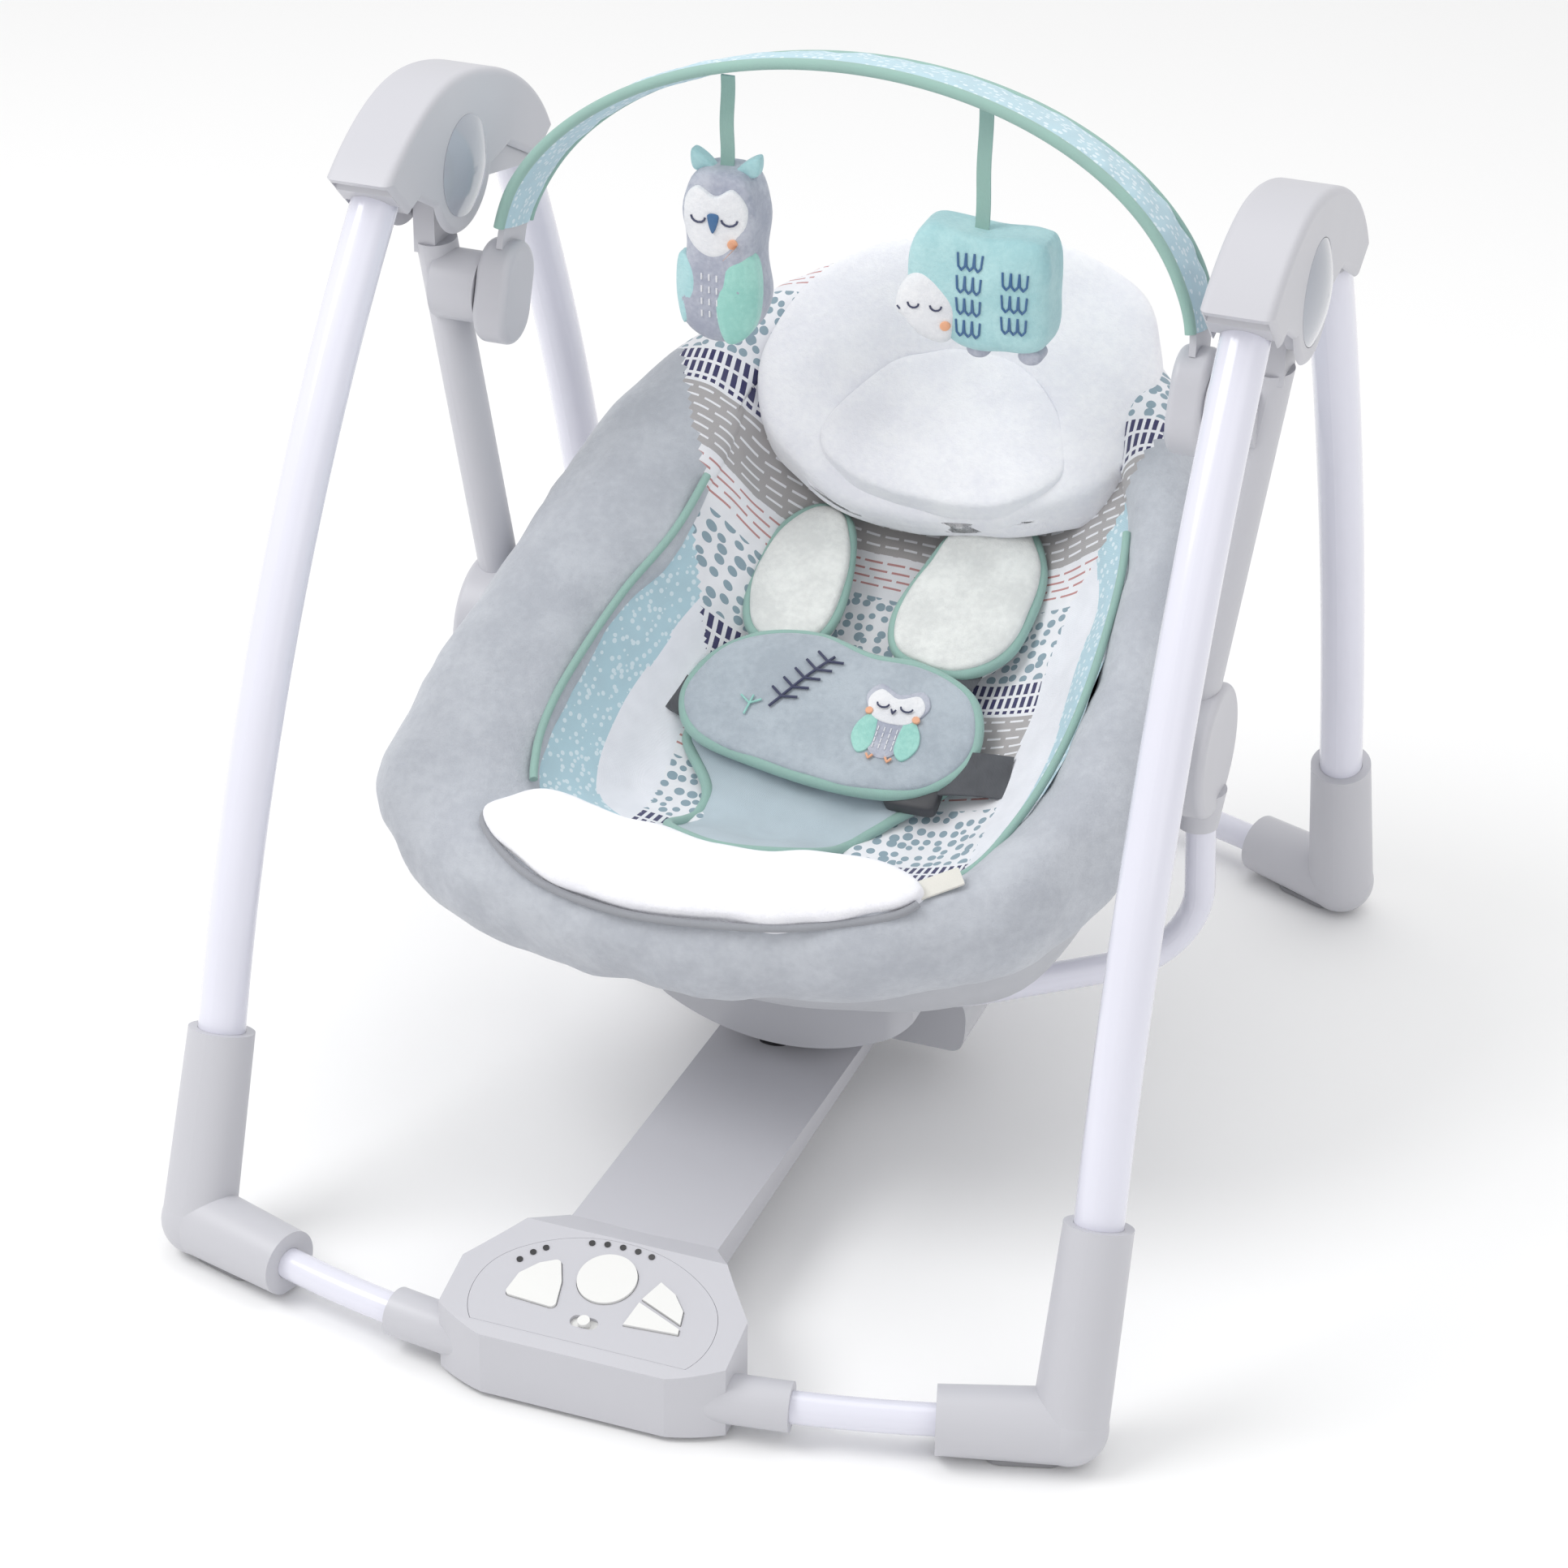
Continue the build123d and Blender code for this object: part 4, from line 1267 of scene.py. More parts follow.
@dataclass
class Pads:
    """Head support, leg rest, shoulder pads, belly pad, crotch piece, webbing and buckle."""

    head_outline: tuple[Flat, ...] = (
        (0.152, 0.126), (0.149, 0.176), (0.130, 0.222), (0.096, 0.250), (0.052, 0.262),
        (-0.006, 0.260), (-0.062, 0.242), (-0.094, 0.206), (-0.102, 0.156), (-0.088, 0.112),
        (-0.058, 0.082), (-0.020, 0.064), (0.026, 0.060), (0.070, 0.064), (0.112, 0.076),
        (0.142, 0.094),
    )
    rest_outline: tuple[Flat, ...] = (
        (0.110, 0.100), (0.102, 0.132), (0.080, 0.160), (0.050, 0.178), (0.014, 0.180),
        (-0.018, 0.166), (-0.038, 0.138), (-0.048, 0.104), (-0.020, 0.080), (0.030, 0.070),
        (0.080, 0.074),
    )
    leg_outline: tuple[Flat, ...] = (
        (0.122, -0.208), (0.104, -0.198), (0.070, -0.196), (0.030, -0.202), (-0.018, -0.206),
        (-0.062, -0.200), (-0.104, -0.195), (-0.134, -0.200), (-0.150, -0.216), (-0.122, -0.240),
        (-0.086, -0.252), (-0.042, -0.256), (0.004, -0.252), (0.048, -0.245), (0.084, -0.234),
        (0.112, -0.222),
    )
    shoulder_left: tuple[Flat, ...] = (
        (-0.015, 0.010), (-0.019, 0.050), (-0.030, 0.078), (-0.050, 0.084), (-0.068, 0.064),
        (-0.074, 0.024), (-0.066, -0.008), (-0.046, -0.020), (-0.024, -0.014),
    )
    shoulder_right: tuple[Flat, ...] = (
        (0.104, 0.022), (0.104, 0.062), (0.086, 0.094), (0.062, 0.100), (0.044, 0.086), (0.032, 0.052),
        (0.024, 0.014), (0.036, -0.012), (0.072, -0.018), (0.096, -0.002),
    )
    belly_outline: tuple[Flat, ...] = (
        (0.100, -0.066), (0.088, -0.036), (0.054, -0.022), (0.020, -0.022), (-0.016, -0.014),
        (-0.052, -0.018), (-0.080, -0.038), (-0.089, -0.068), (-0.072, -0.094), (-0.028, -0.107),
        (0.024, -0.114), (0.066, -0.110), (0.092, -0.092),
    )
    crotch_outline: tuple[Flat, ...] = (
        (0.092, -0.086), (0.060, -0.124), (0.042, -0.146), (0.030, -0.172), (0.0, -0.184),
        (-0.034, -0.184), (-0.062, -0.168), (-0.056, -0.128), (-0.082, -0.090), (-0.060, -0.070),
        (0.0, -0.066), (0.066, -0.066),
    )

    def build(self) -> None:
        """Builds every pad."""
        self.head_support()
        self.leg_rest()
        self.shoulders()
        self.belly()
        self.crotch()
        self.webbing()

    def head_support(self) -> None:
        """A broad white cushion with a hollow for the head, and the small rest in that hollow."""

        def level(y: float) -> float:
            """The height of the head cushion along the seat.

            Args:
                y: distance along, in metres.

            Returns:
                the height.
            """
            return -0.044 + 0.38 * max(0.0, y - 0.060)

        def place(x: float, y: float, up: float) -> Vector:
            """Puts a flat point in the object's frame.

            Args:
                x: distance across, in metres.
                y: distance along, in metres.
                up: distance off the surface, in metres.

            Returns:
                the point.
            """
            hollow = math.exp(-(((x - 0.030) / 0.072) ** 4) - ((y - 0.100) / 0.070) ** 4)
            lift = up - (0.016 * hollow if up > 0 else 0)
            rise = level(y) + 0.020
            return seat_place(x + 0.48 * rise, y - 0.56 * rise, rise - 0.020 + lift)

        pad = Bench.cushion("head_cushion", self.head_outline, 0.026, place, 0.60, 144, 60)
        Bench.rumple(pad, 0.0030, 0.04, 1.0)
        Shop.dress(pad, Palette.MINKY)
        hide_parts("head_support")
        Shop.deliver(pad, "seat", "white_plush", 0.7)

        def nest(x: float, y: float, up: float) -> Vector:
            """Puts a flat point in the cushion's hollow.

            Args:
                x: distance across, in metres.
                y: distance along, in metres.
                up: distance off the surface, in metres.

            Returns:
                the point.
            """
            rise = level(y) + 0.030
            return seat_place(x + 0.48 * rise, y - 0.56 * rise, rise - 0.020 + up)

        inner = Bench.cushion("head_rest", self.rest_outline, 0.011, nest, 0.42, 96, 30)
        Bench.rumple(inner, 0.0012, 0.02, 4.0)
        Shop.dress(inner, Palette.MINKY)
        Shop.deliver(inner, "seat", "white_plush", 0.6)

    def leg_rest(self) -> None:
        """The white roll under the knees, with a grey seam in front of it."""

        def place(x: float, y: float, up: float) -> Vector:
            """Puts a flat point in the object's frame.

            Args:
                x: distance across, in metres.
                y: distance along, in metres.
                up: distance off the surface, in metres.

            Returns:
                the point.
            """
            return seat_place(x + 0.004, y - 0.006, 0.010 + up + 0.004 * (abs(x) / 0.13) ** 2)

        pad = Bench.cushion("leg_cushion", self.leg_outline, 0.015, place, 0.6, 144, 40)
        Bench.rumple(pad, 0.0040, 0.034, 2.0)
        Shop.dress(pad, Palette.MINKY)
        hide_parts("leg_rest")
        Shop.deliver(pad, "seat", "white_plush", 0.7)
        loop = Loop(self.leg_outline)
        seam = [place(*loop.at((7.4 + step / 100 * 8.2) / 16), 0.003) for step in range(101)]
        seam = [point - SEAT_ALONG * 0.003 for point in seam]
        cord = Bench.cord("leg_seam", seam, 0.0024, False)
        Shop.dress(cord, Palette.TRIM)
        Shop.deliver(cord, "seat", "white_plush")

    def shoulders(self) -> None:
        """Two curved shoulder pads with green edging."""

        def place(x: float, y: float, up: float) -> Vector:
            """Puts a flat point in the object's frame.

            Args:
                x: distance across, in metres.
                y: distance along, in metres.
                up: distance off the surface, in metres.

            Returns:
                the point.
            """
            return seat_place(x, y, -0.070 + up)

        cords = []
        made = []
        for name, outline in (("left", self.shoulder_left), ("right", self.shoulder_right)):
            pad = Bench.cushion(f"shoulder_{name}", outline, 0.012, place, 0.5, 80, 28)
            Bench.rumple(pad, 0.0020, 0.025, 6.0)
            Shop.dress(pad, Palette.OFFWHITE)
            made.append(pad)
            ring = [place(x, y, 0.002) for x, y in Loop(outline).walk(90)]
            cords.append(Bench.cord("edge", ring, 0.0042, True))
        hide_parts("harness_pads")
        for pad in made:
            Shop.deliver(pad, "seat", "white_plush", 0.6)
        edging = Bench.join("shoulder_edging", cords)
        Shop.dress(edging, Palette.GREEN)
        Shop.deliver(edging, "seat", "green_fabric")

    def belly(self) -> None:
        """The kidney-shaped belly pad with its edging and its stitched bird and twig."""

        def place(x: float, y: float, up: float) -> Vector:
            """Puts a flat point in the object's frame.

            Args:
                x: distance across, in metres.
                y: distance along, in metres.
                up: distance off the surface, in metres.

            Returns:
                the point.
            """
            return seat_place(x, y, -0.064 + up - 0.6 * (x - 0.01) ** 2)

        pad = Bench.cushion("belly_cushion", self.belly_outline, 0.010, place, 0.45, 128, 30)
        Bench.rumple(pad, 0.0016, 0.03, 8.0)
        Shop.dress(pad, Palette.BELLY)
        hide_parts("belly_pad")
        Shop.deliver(pad, "seat", "grey_plush", 0.6)
        ring = [place(x, y, 0.002) for x, y in Loop(self.belly_outline).walk(160)]
        edging = Bench.cord("belly_edging", ring, 0.0042, True)
        Shop.dress(edging, Palette.GREEN)
        Shop.deliver(edging, "seat", "green_fabric")
        Embroidery(pad, SEAT_NORMAL, lambda x, y: place(x, y, 0.04)).belly()

    def crotch(self) -> None:
        """The cloth piece between the legs, with green edging."""

        def place(x: float, y: float, up: float) -> Vector:
            """Puts a flat point in the object's frame.

            Args:
                x: distance across, in metres.
                y: distance along, in metres.
                up: distance off the surface, in metres.

            Returns:
                the point.
            """
            return seat_place(x, y, -0.080 + 0.046 * smooth(-0.140, -0.190, y) + up)

        pad = Bench.cushion("crotch_piece", self.crotch_outline, 0.005, place, 0.45, 120, 24)
        Bench.rumple(pad, 0.0030, 0.024, 12.0)
        Shop.dress(pad, Palette.LINEN)
        Shop.deliver(pad, "seat", "grey_plush", 0.3)
        ring = [place(x, y, 0.002) for x, y in Loop(self.crotch_outline).walk(140)]
        edging = Bench.cord("crotch_edging", ring, 0.0036, True)
        Shop.dress(edging, Palette.GREEN)
        Shop.deliver(edging, "seat", "green_fabric")

    @staticmethod
    def webbing() -> None:
        """The waist webbing beside the belly pad, a shoulder strap above it, and the buckle."""
        runs = [
            ((0.070, -0.092, -0.070), (0.128, -0.084, -0.066), 0.030),
            ((-0.070, -0.074, -0.074), (-0.112, -0.062, -0.068), 0.026),
            ((0.046, -0.010, -0.070), (0.086, -0.022, -0.071), 0.016),
        ]
        bands = []
        for start, end, width in runs:
            a, b = Vector(start), Vector(end)
            side = Vector((-(b - a).y, (b - a).x, 0)).normalized() * width / 2

            def place(p: float, q: float, a: Vector = a, b: Vector = b, side: Vector = side) -> Vector:
                """Puts a flat point in the object's frame.

                Args:
                    p: the share along it.
                    q: the share across it.
                    a: the near end.
                    b: the far end.
                    side: half the width, as a vector.

                Returns:
                    the point.
                """
                spot = a + (b - a) * p + side * (2 * q - 1)
                return seat_place(spot.x, spot.y, spot.z + 0.004 * math.sin(p * math.pi))

            band = Bench.sheet("band", 30, 10, place)
            Bench.modify(band, "SOLIDIFY", thickness=0.0018, offset=0.0)
            bands.append(band)
        web = Bench.join("waist_webbing", bands)
        Bench.soften(web, 40)
        Shop.dress(web, Palette.WEB)
        Shop.deliver(web, "seat", "grey_plush")
        Bench.clear()
        bpy.ops.mesh.primitive_cube_add(size=1)
        buckle = Bench.take("waist_buckle")
        Bench.modify(buckle, "BEVEL", width=0.18, segments=4)
        Bench.modify(buckle, "SUBSURF", levels=1, render_levels=1)
        Bench.shape(
            buckle,
            lambda co: seat_place(0.072 + co.x * 0.034, -0.104 + co.y * 0.026, -0.070 + co.z * 0.012),
        )
        Bench.tidy(buckle)
        Bench.soften(buckle, 50)
        Shop.dress(buckle, Palette.BUCKLE)
        Shop.deliver(buckle, "seat", "steel")


class Embroidery:
    """Lays patches and stitches on a soft piece's skin."""

    def __init__(self, target: bpy.types.Object, outward: Vector, place: Flatten) -> None:
        """Starts on a target.

        Args:
            target: the soft piece.
            outward: the way out of its skin.
            place: puts a flat point well above the skin.
        """
        self.target = target
        self.outward = outward
        self.place = place

    def skin(self, x: float, y: float, lift: float) -> Vector:
        """The point of the skin under a flat point, lifted off it.

        Args:
            x: distance across, in metres.
            y: distance along, in metres.
            lift: how far off the skin.

        Returns:
            the point.
        """
        start = self.place(x, y)
        hit, where, _, _ = self.target.ray_cast(start, -self.outward)
        return (where if hit else start - self.outward * 0.04) + self.outward * lift

    def patch(
        self, name: str, outline: Sequence[Flat], finish: Palette, body: str, lift: float = 0.0004
    ) -> None:
        """A thin raised patch.

        Args:
            name: the piece's name.
            outline: points round it.
            finish: the finish.
            body: the body that it moves with.
            lift: how far off the skin.
        """
        made = Bench.cushion(name, outline, 0.0011, lambda x, y, up: self.skin(x, y, lift + up), 0.4, 40, 12)
        Shop.dress(made, finish)
        Shop.deliver(made, body, "toy_plush")

    def stitches(
        self, name: str, lines: Sequence[Sequence[Flat]], finish: Palette, body: str, thick: float = 0.0007,
        lift: float = 0.0016,
    ) -> None:
        """Stitched lines, joined into one piece.

        Args:
            name: the piece's name.
            lines: the stitched lines.
            finish: the finish.
            body: the body that it moves with.
            thick: the radius of the thread.
            lift: how far off the skin.
        """
        cords = []
        for line in lines:
            fine: list[Flat] = []
            for (x0, y0), (x1, y1) in zip(line, line[1:]):
                fine += [(x0 + (x1 - x0) * k / 3, y0 + (y1 - y0) * k / 3) for k in range(3)]
            fine.append(line[-1])
            cords.append(Bench.cord("stroke", [self.skin(x, y, lift) for x, y in fine], thick, False, 2))
        made = Bench.join(name, cords)
        Shop.dress(made, finish)
        Shop.deliver(made, body, "toy_plush")

    @staticmethod
    def oval(x: float, y: float, half: float, rise: float, count: int = 10) -> list[Flat]:
        """Points of an oval.

        Args:
            x: distance across, in metres.
            y: distance along, in metres.
            half: half its width.
            rise: half its height.
            count: how many points.

        Returns:
            the points.
        """
        return [
            (x + half * math.cos(step / count * math.tau), y + rise * math.sin(step / count * math.tau))
            for step in range(count)
        ]

    @staticmethod
    def lid(x: float, y: float, half: float, drop: float) -> list[Flat]:
        """A closed eyelid, as an arc.

        Args:
            x: distance across, in metres.
            y: distance along, in metres.
            half: half its width.
            drop: how deep it curves.

        Returns:
            the points.
        """
        turns = [step * math.pi / 6 for step in range(7)]
        return [(x + half * math.cos(turn), y - drop * math.sin(turn)) for turn in turns]

    def belly(self) -> None:
        """A small sleepy bird with folded wings, and two twigs beside it."""
        x, y = 0.048, -0.066
        left = [(-0.010, 0.004), (-0.019, -0.004), (-0.021, -0.016), (-0.014, -0.026), (-0.007, -0.018)]
        self.patch("bird_body", self.oval(x, y - 0.011, 0.012, 0.016), Palette.TOYGREY, "seat", 0.0002)
        self.patch("bird_wing_left", [(x + a, y + b) for a, b in left], Palette.MINT, "seat", 0.0006)
        self.patch("bird_wing_right", [(x - a, y + b) for a, b in left], Palette.MINT, "seat", 0.0006)
        face = [(0.0, 0.016), (-0.012, 0.021), (-0.018, 0.012), (-0.012, 0.001), (0.0, -0.002), (0.012, 0.001),
                (0.018, 0.012), (0.012, 0.021)]
        crown = [(x + a * 1.12, y + b * 1.1 + 0.001) for a, b in face]
        self.patch("bird_crown", crown, Palette.TOYGREY, "seat", 0.0004)
        self.patch("bird_face", [(x + a, y + b - 0.001) for a, b in face], Palette.TOYWHITE, "seat", 0.0010)
        for side, name in ((-1, "left"), (1, "right")):
            spot = self.oval(x + side * 0.015, y + 0.003, 0.0024, 0.0024)
            self.patch(f"bird_cheek_{name}", spot, Palette.PEACH, "seat", 0.0020)
        lids = [self.lid(x + side * 0.0075, y + 0.009, 0.0038, 0.0028) for side in (-1, 1)]
        beak = [(x - 0.0015, y + 0.006), (x, y + 0.003), (x + 0.0015, y + 0.006)]
        self.stitches("bird_eyes", [*lids, beak], Palette.INK, "seat", 0.0006, 0.0034)
        twig = [[(-0.030, -0.072), (-0.016, -0.052), (0.0, -0.030)]]
        for step in range(5):
            tx, ty = -0.024 + step * 0.0052, -0.064 + step * 0.0074
            twig.append([(tx, ty), (tx - 0.008, ty + 0.006)])
            twig.append([(tx, ty), (tx + 0.010, ty + 0.001)])
        self.stitches("twig", twig, Palette.INK, "seat", 0.0009)
        sprig = [[(-0.044, -0.080), (-0.042, -0.066)], [(-0.043, -0.072), (-0.050, -0.067)],
                 [(-0.043, -0.072), (-0.036, -0.068)]]
        self.stitches("sprig", sprig, Palette.MINT, "seat", 0.0007)
        feet = [
            [(x + dx - 0.002, y - 0.026), (x + dx, y - 0.029), (x + dx + 0.002, y - 0.026)]
            for dx in (-0.006, 0.006)
        ]
        chest = [[(x + dx, y - 0.006 - row * 0.004), (x + dx, y - 0.009 - row * 0.004)]
                 for row in range(4) for dx in (-0.006, -0.002, 0.002, 0.006)]
        self.stitches("bird_feet", feet, Palette.PEACH, "seat", 0.0008)
        self.stitches("bird_chest", chest, Palette.TOYWHITE, "seat", 0.0004)


@dataclass
class ToyBar:
    """The bow's fabric cover with its two edgings."""

    half_width: float = 0.0255
    thick: float = 0.0042
    start: float = 0.10

    def at(self, turn: float, across: float, out: float) -> Vector:
        """A point of the bow.

        Args:
            turn: angle round the bow, 0 at the right end and pi at the left.
            across: place over its width.
            out: distance outwards from the bow's middle line.

        Returns:
            The point in the object's frame.
        """
        x = ARCH_HALF * math.cos(turn)
        rise = ARCH_RISE * math.sin(turn)
        normal = Vector((ARCH_RISE * math.cos(turn), ARCH_HALF * math.sin(turn))).normalized()
        x += normal.x * out
        rise += normal.y * out
        y = ARCH_ROOT[0] + rise * math.sin(ARCH_TILT) + across * math.cos(ARCH_TILT)
        z = ARCH_ROOT[1] + rise * math.cos(ARCH_TILT) - across * math.sin(ARCH_TILT)
        return Vector((x, y, z))

    def build(self) -> None:
        """Builds the cover and its edgings."""

        def skin(p: float, q: float) -> Vector:
            """Puts a share along and a share round on the cover.

            Args:
                p: the share along it.
                q: the share across it.

            Returns:
                the point.
            """
            turn = self.start + (math.pi - 2 * self.start) * p
            angle = q * math.tau
            ends = 0.86 + 0.14 * smooth(0, 0.08, min(p, 1 - p))
            across = self.half_width * math.copysign(abs(math.cos(angle)) ** 0.7, math.cos(angle)) * ends
            out = self.thick * math.sin(angle)
            out += 0.0012 * noise.noise(Vector((p * 40, across * 60, 2)))
            return self.at(turn, across, out)

        cover = Bench.sheet("bow_cover", 240, 32, skin)
        Shop.dress(cover, Palette.BLUE)
        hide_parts("toy_bar_cover")
        Shop.deliver(cover, "toy_bar", "green_fabric", 0.4)
        cords = []
        for side in (1, -1):
            points = []
            for step in range(161):
                p = step / 160
                ends = 0.86 + 0.14 * smooth(0, 0.08, min(p, 1 - p))
                turn = self.start + (math.pi - 2 * self.start) * p
                points.append(self.at(turn, side * self.half_width * ends, 0.0))
            cords.append(Bench.cord("edge", points, 0.0034, False))
        edging = Bench.join("bow_edging", cords)
        Shop.dress(edging, Palette.GREEN)
        Shop.deliver(edging, "toy_bar", "green_fabric")


@dataclass
class Toys:
    """The two hanging plush toys and their ribbons."""

    def build(self) -> None:
        """Builds both toys."""
        self.ribbon("owl_strap", "owl")
        self.ribbon("hedgehog_strap", "hedgehog")
        self.owl()
        self.hedgehog()

    @staticmethod
    def ribbon(node: str, body: str) -> None:
        """A flat ribbon in the place of a CAD strap, a little longer at its foot.

        Args:
            node: the CAD strap.
            body: the body that it moves with.
        """
        low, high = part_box(node)
        middle = (low + high) / 2
        width, tuck = 0.0085, 0.004

        def place(p: float, q: float) -> Vector:
            """Puts a flat point in the object's frame.

            Args:
                p: the share along it.
                q: the share across it.

            Returns:
                the point.
            """
            wave = 0.0010 * math.sin(p * 9)
            rise = low.z - tuck + (high.z - low.z + tuck) * p
            return Vector((middle.x + (q - 0.5) * width, middle.y + wave, rise))

        made = Bench.sheet(f"{body}_ribbon", 30, 6, place)
        Bench.modify(made, "SOLIDIFY", thickness=0.0016, offset=0.0)
        Bench.soften(made, 40)
        Shop.dress(made, Palette.GREEN)
        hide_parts(node)
        Shop.deliver(made, body, "green_fabric")

    @staticmethod
    def front_of(node: str) -> Place:
        """A flat frame on the middle of a toy's CAD solid, facing the front.

        Args:
            node: the CAD node.

        Returns:
            puts across, up and out in the object's frame.
        """
        low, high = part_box(node)
        middle = (low + high) / 2
        return lambda x, z, out: middle + Vector((x, -out, z))

    @staticmethod
    def dressed(piece: bpy.types.Object, finish: Palette, body: str, padded: float | None = None) -> None:
        """Dresses and delivers a toy's piece.

        Args:
            piece: the piece.
            finish: the finish.
            body: the body that it moves with.
            padded: how full it is, or None if it is not padded.
        """
        Shop.dress(piece, finish)
        Shop.deliver(piece, body, "toy_plush", padded)

    def owl(self) -> None:
        """A slim owl: grey body, white face, teal wings, ear tufts and a sleepy look."""
        put = self.front_of("owl_toy")
        outline = [
            (0.0, 0.054), (-0.017, 0.050), (-0.023, 0.030), (-0.021, 0.006), (-0.025, -0.020), (-0.023, -0.042),
            (-0.012, -0.053), (0.004, -0.054), (0.018, -0.048), (0.025, -0.028), (0.022, 0.0), (0.024, 0.028),
            (0.017, 0.050),
        ]
        body = Bench.cushion("owl_body", outline, 0.021, put, 0.62, 72, 36)
        Bench.rumple(body, 0.0015, 0.02, 1.5)
        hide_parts("owl_toy")
        self.dressed(body, Palette.TOYGREY, "owl", 0.8)
        right = [(0.006, 0.0), (0.022, 0.004), (0.026, -0.020), (0.022, -0.044), (0.008, -0.052), (0.001, -0.030)]
        left = [(-0.014, -0.006), (-0.025, 0.0), (-0.027, -0.024), (-0.021, -0.044), (-0.013, -0.026)]

        def over(height: float, curve: float) -> Place:
            """A surface that falls away to the sides.

            Args:
                height: distance above the seat's plane, in metres.
                curve: how strongly it falls away to the sides.

            Returns:
                the surface.
            """
            return lambda x, y, up: put(x, y, height + up - curve * x * x)

        for name, points, finish in (("right", right, Palette.MINT), ("left", left, Palette.TEAL)):
            made = Bench.cushion(f"owl_wing_{name}", points, 0.007, over(0.0155, 9), 0.6, 48, 20)
            self.dressed(made, finish, "owl", 0.6)
        for side, name in ((1, "right"), (-1, "left")):
            ear = [(side * 0.006, 0.050), (side * 0.020, 0.050), (side * 0.0215, 0.0625), (side * 0.012, 0.058)]
            made = Bench.cushion(f"owl_ear_{name}", ear, 0.005, put, 0.6, 32, 14)
            self.dressed(made, Palette.TEAL, "owl", 0.6)
        face = [(0.0, 0.041), (-0.012, 0.046), (-0.020, 0.036), (-0.019, 0.016), (-0.008, 0.004), (0.004, 0.004),
                (0.016, 0.014), (0.020, 0.034), (0.011, 0.046)]
        made = Bench.cushion("owl_face", face, 0.004, over(0.0185, 8), 0.5, 56, 16)
        self.dressed(made, Palette.TOYWHITE, "owl", 0.5)
        skin = Embroidery(made, Vector((0, -1, 0)), lambda x, y: put(x, y, 0.08))
        skin.patch("owl_beak", [(-0.0035, 0.030), (0.0035, 0.030), (0.0, 0.019)], Palette.THREAD, "owl")
        skin.patch("owl_cheek", skin.oval(0.012, 0.013, 0.003, 0.0032), Palette.PEACH, "owl")
        lids = [skin.lid(middle, 0.028, 0.0048, 0.0036) for middle in (-0.010, 0.010)]
        skin.stitches("owl_eyes", lids, Palette.INK, "owl", 0.0007, 0.0003)
        chest = Embroidery(body, Vector((0, -1, 0)), lambda x, y: put(x, y, 0.08))
        rows = [[(x, y), (x, y - 0.004)] for y in (-0.008, -0.016, -0.024, -0.032) for x in (-0.008, -0.003, 0.002)]
        chest.stitches("owl_chest", rows, Palette.TOYWHITE, "owl", 0.0006, 0.0002)

    def hedgehog(self) -> None:
        """A round-backed hedgehog: teal body, white face to the left, stitched quills and grey feet."""
        put = self.front_of("hedgehog_toy")
        outline = [
            (-0.030, 0.038), (0.0, 0.036), (0.034, 0.037), (0.045, 0.030), (0.047, 0.0), (0.044, -0.028),
            (0.020, -0.034), (-0.008, -0.034), (-0.024, -0.020), (-0.040, -0.006), (-0.040, 0.022),
        ]
        body = Bench.cushion("hedgehog_body", outline, 0.021, put, 0.6, 80, 36)
        Bench.rumple(body, 0.0014, 0.02, 2.5)
        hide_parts("hedgehog_toy")
        self.dressed(body, Palette.TEAL, "hedgehog", 0.8)
        face = [(-0.047, -0.014), (-0.043, 0.002), (-0.030, 0.012), (-0.014, 0.004), (-0.008, -0.014),
                (-0.014, -0.032), (-0.030, -0.030), (-0.041, -0.020)]

        def ahead(x: float, y: float, up: float) -> Vector:
            """Puts a flat point a little in front of the toy's middle.

            Args:
                x: distance across, in metres.
                y: distance along, in metres.
                up: distance off the surface, in metres.

            Returns:
                the point.
            """
            return put(x, y, 0.006 + up)

        head = Bench.cushion("hedgehog_face", face, 0.016, ahead, 0.55, 56, 24)
        self.dressed(head, Palette.TOYWHITE, "hedgehog", 0.7)
        for x, name in ((0.004, "front"), (0.036, "rear")):
            foot = Embroidery.oval(x, -0.035, 0.0075, 0.0055)
            made = Bench.cushion(f"hedgehog_foot_{name}", foot, 0.009, ahead, 0.6, 32, 16)
            self.dressed(made, Palette.TOYGREY, "hedgehog", 0.7)
        skin = Embroidery(body, Vector((0, -1, 0)), lambda x, y: put(x, y, 0.08))
        quills = []
        for column, row in [(0, r) for r in range(4)] + [(1, r) for r in range(3)]:
            x, y = (-0.008 if column == 0 else 0.020), 0.027 - row * 0.0140 - column * 0.008
            for k in range(3):
                start = x + k * 0.0050
                quills.append([(start, y), (start + 0.0006, y - 0.008), (start + 0.0026, y - 0.0105),
                               (start + 0.0046, y - 0.008), (start + 0.0050, y - 0.0005)])
        skin.stitches("hedgehog_quills", quills, Palette.THREAD, "hedgehog", 0.0007, 0.0003)
        skin = Embroidery(head, Vector((0, -1, 0)), lambda x, y: put(x, y, 0.08))
        lids = [skin.lid(middle, -0.008, 0.0035, 0.003) for middle in (-0.034, -0.020)]
        nose = [(-0.0445, -0.012), (-0.0425, -0.0135)]
        skin.stitches("hedgehog_eyes", [*lids, nose], Palette.INK, "hedgehog", 0.0006, 0.0003)
        skin.patch("hedgehog_cheek", skin.oval(-0.014, -0.020, 0.003, 0.003), Palette.PEACH, "hedgehog")


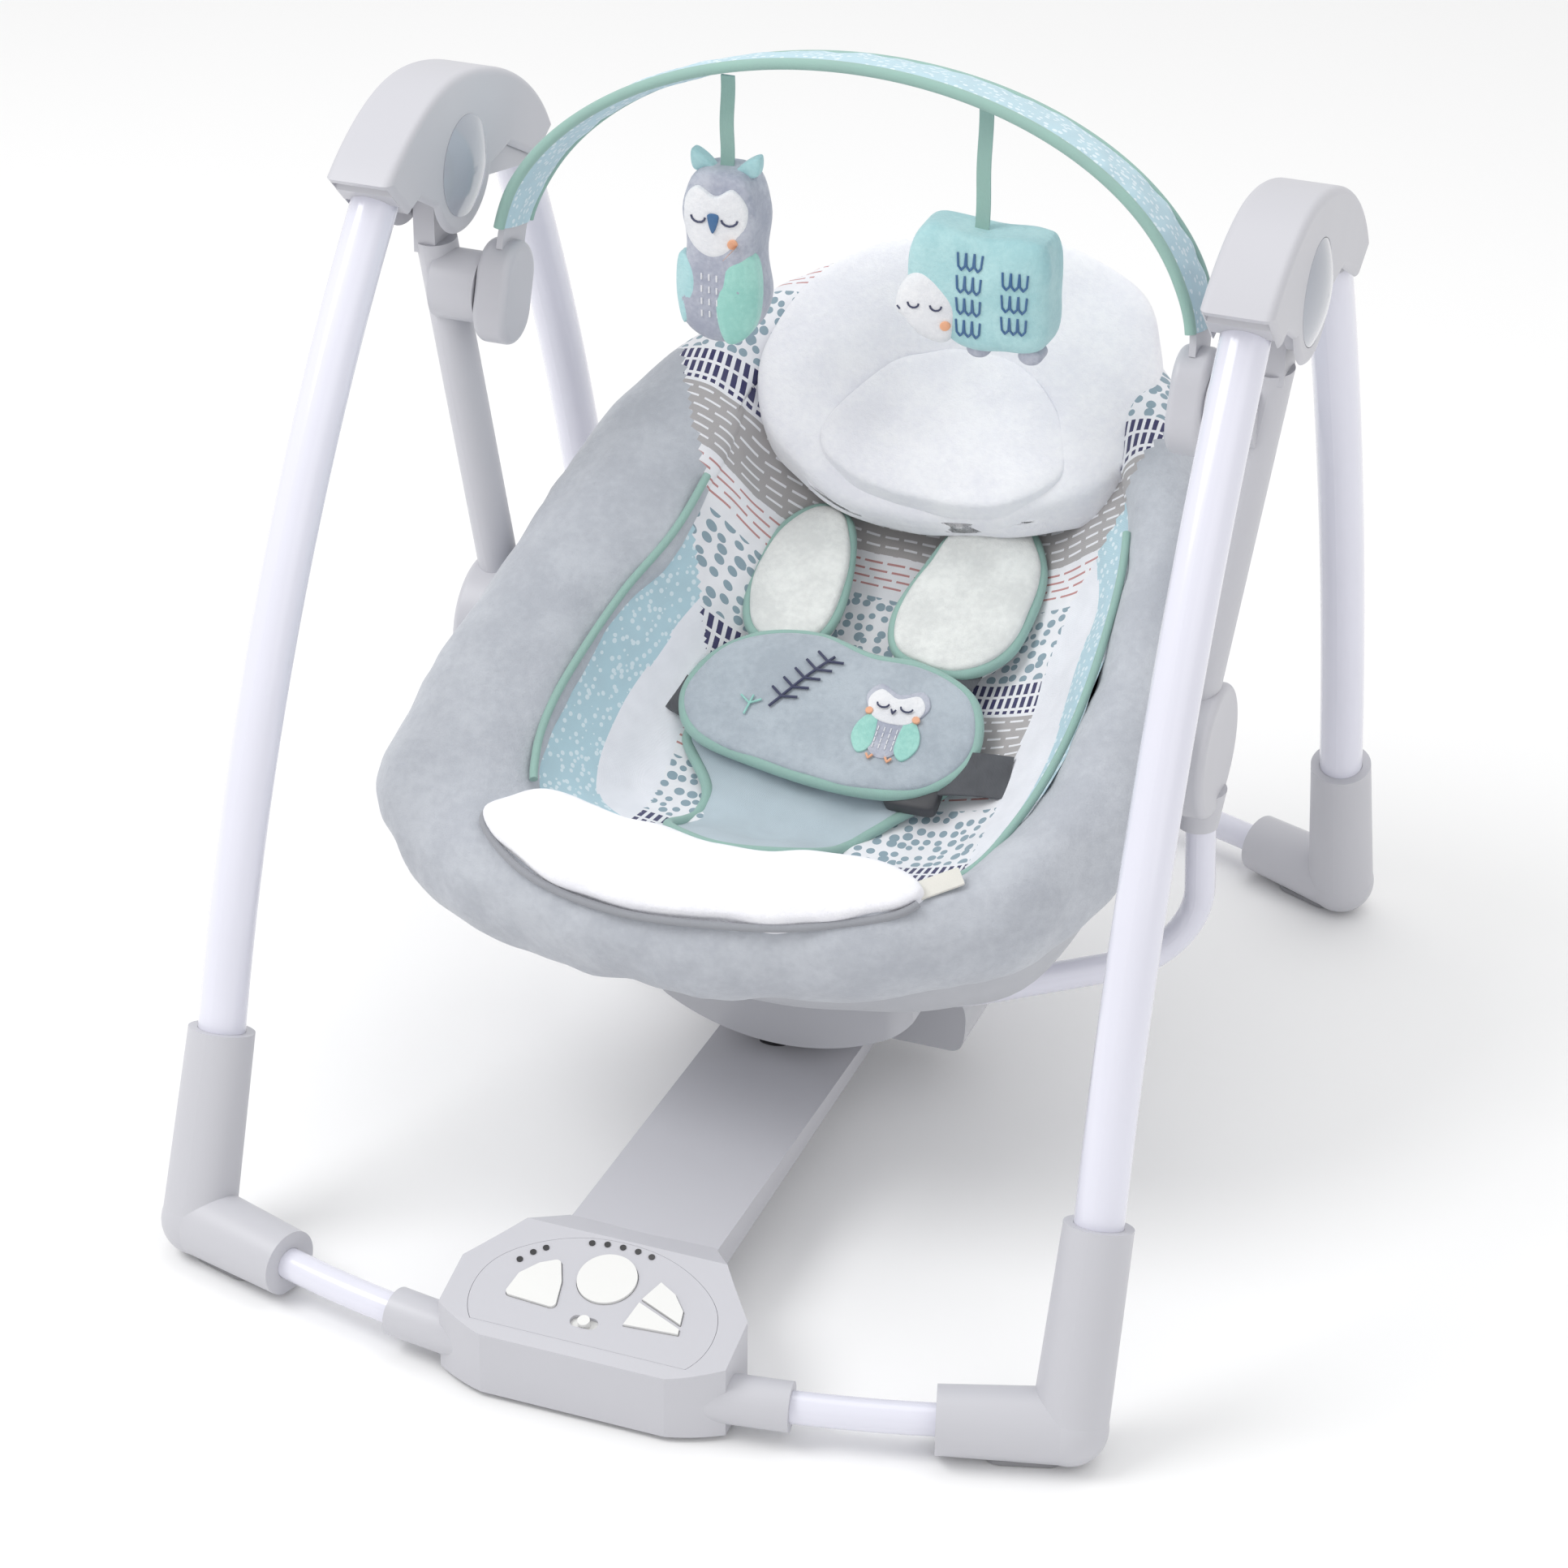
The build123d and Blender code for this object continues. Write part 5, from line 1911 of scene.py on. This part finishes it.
@dataclass
class Studio:
    """Floor, soft light and the camera."""

    azimuth: float = 20.41
    elevation: float = 29.12
    roll: float = 0.742
    place: Point = (0.7565, -2.0995, 1.4483)
    lens: float = 94.37
    sensor: float = 36.0

    def build(self) -> None:
        """Sets the stage."""
        self.floor()
        self.lights()
        self.camera()

    @staticmethod
    def floor() -> None:
        """A wide pale sheet that curves up behind."""

        def place(p: float, q: float) -> Vector:
            """Puts a flat point in the object's frame.

            Args:
                p: the share along it.
                q: the share across it.

            Returns:
                the point.
            """
            y = -6 + 14 * q
            z = 0.0 if y < 5 else (y - 5) ** 2 * 0.35
            return Vector((-8 + 16 * p, y, z - 0.0005))

        made = Bench.sheet("backdrop", 8, 60, place)
        surface = Material("backdrop_paper")
        tone = surface.graph.noise(surface.place, 0.6)
        mixed = surface.graph.mix(tone, (0.93, 0.93, 0.93, 1.0), (0.95, 0.95, 0.95, 1.0))
        surface.set(Base_Color=mixed, Roughness=0.9)
        made.data.materials.append(surface.data)

    @staticmethod
    def lights() -> None:
        """A bright even world, with a large soft key and fill."""
        world = bpy.data.worlds.new("studio")
        world.use_nodes = True
        back = world.node_tree.nodes["Background"]
        back.inputs[0].default_value = (1.0, 1.0, 1.0, 1.0)
        back.inputs[1].default_value = 0.80
        bpy.context.scene.world = world
        bpy.context.scene.view_settings.view_transform = "Standard"
        panels = [
            ("key", (-1.6, -1.2, 2.6), 1.6, 34.0),
            ("fill", (2.4, -1.6, 1.8), 2.4, 7.0),
            ("top", (0.2, 0.6, 3.0), 2.4, 15.0),
        ]
        for name, place, size, power in panels:
            data = bpy.data.lights.new(name, "AREA")
            data.shape = "DISK"
            data.size = size
            data.energy = power
            lamp = bpy.data.objects.new(name, data)
            lamp.location = place
            aim = Vector((0, 0, 0.3)) - Vector(place)
            lamp.rotation_euler = aim.to_track_quat("-Z", "Y").to_euler()
            bpy.context.scene.collection.objects.link(lamp)

    def camera(self) -> None:
        """The camera at its place and angle."""
        a, e, r = (math.radians(value) for value in (self.azimuth, self.elevation, self.roll))
        ahead = Vector((-math.sin(a) * math.cos(e), math.cos(a) * math.cos(e), -math.sin(e)))
        right = Vector((math.cos(a), math.sin(a), 0))
        up = right.cross(ahead)
        side = right * math.cos(r) + up * math.sin(r)
        top = up * math.cos(r) - right * math.sin(r)
        data = bpy.data.cameras.new("view")
        data.lens = self.lens
        data.sensor_width = self.sensor
        made = bpy.data.objects.new("view", data)
        turn = Matrix((side, top, -ahead)).transposed().to_4x4()
        made.matrix_world = Matrix.Translation(self.place) @ turn
        bpy.context.scene.collection.objects.link(made)
        bpy.context.scene.camera = made


def main() -> None:
    """Builds everything in order."""
    logging.basicConfig(level=logging.INFO, format="%(name)s: %(message)s")
    Bench.clear()
    for part in (Seat(), Pads(), ToyBar(), Toys(), Hardware(), Studio()):
        part.build()
        log.info("built %s", type(part).__name__)


if __name__ == "__main__":
    main()
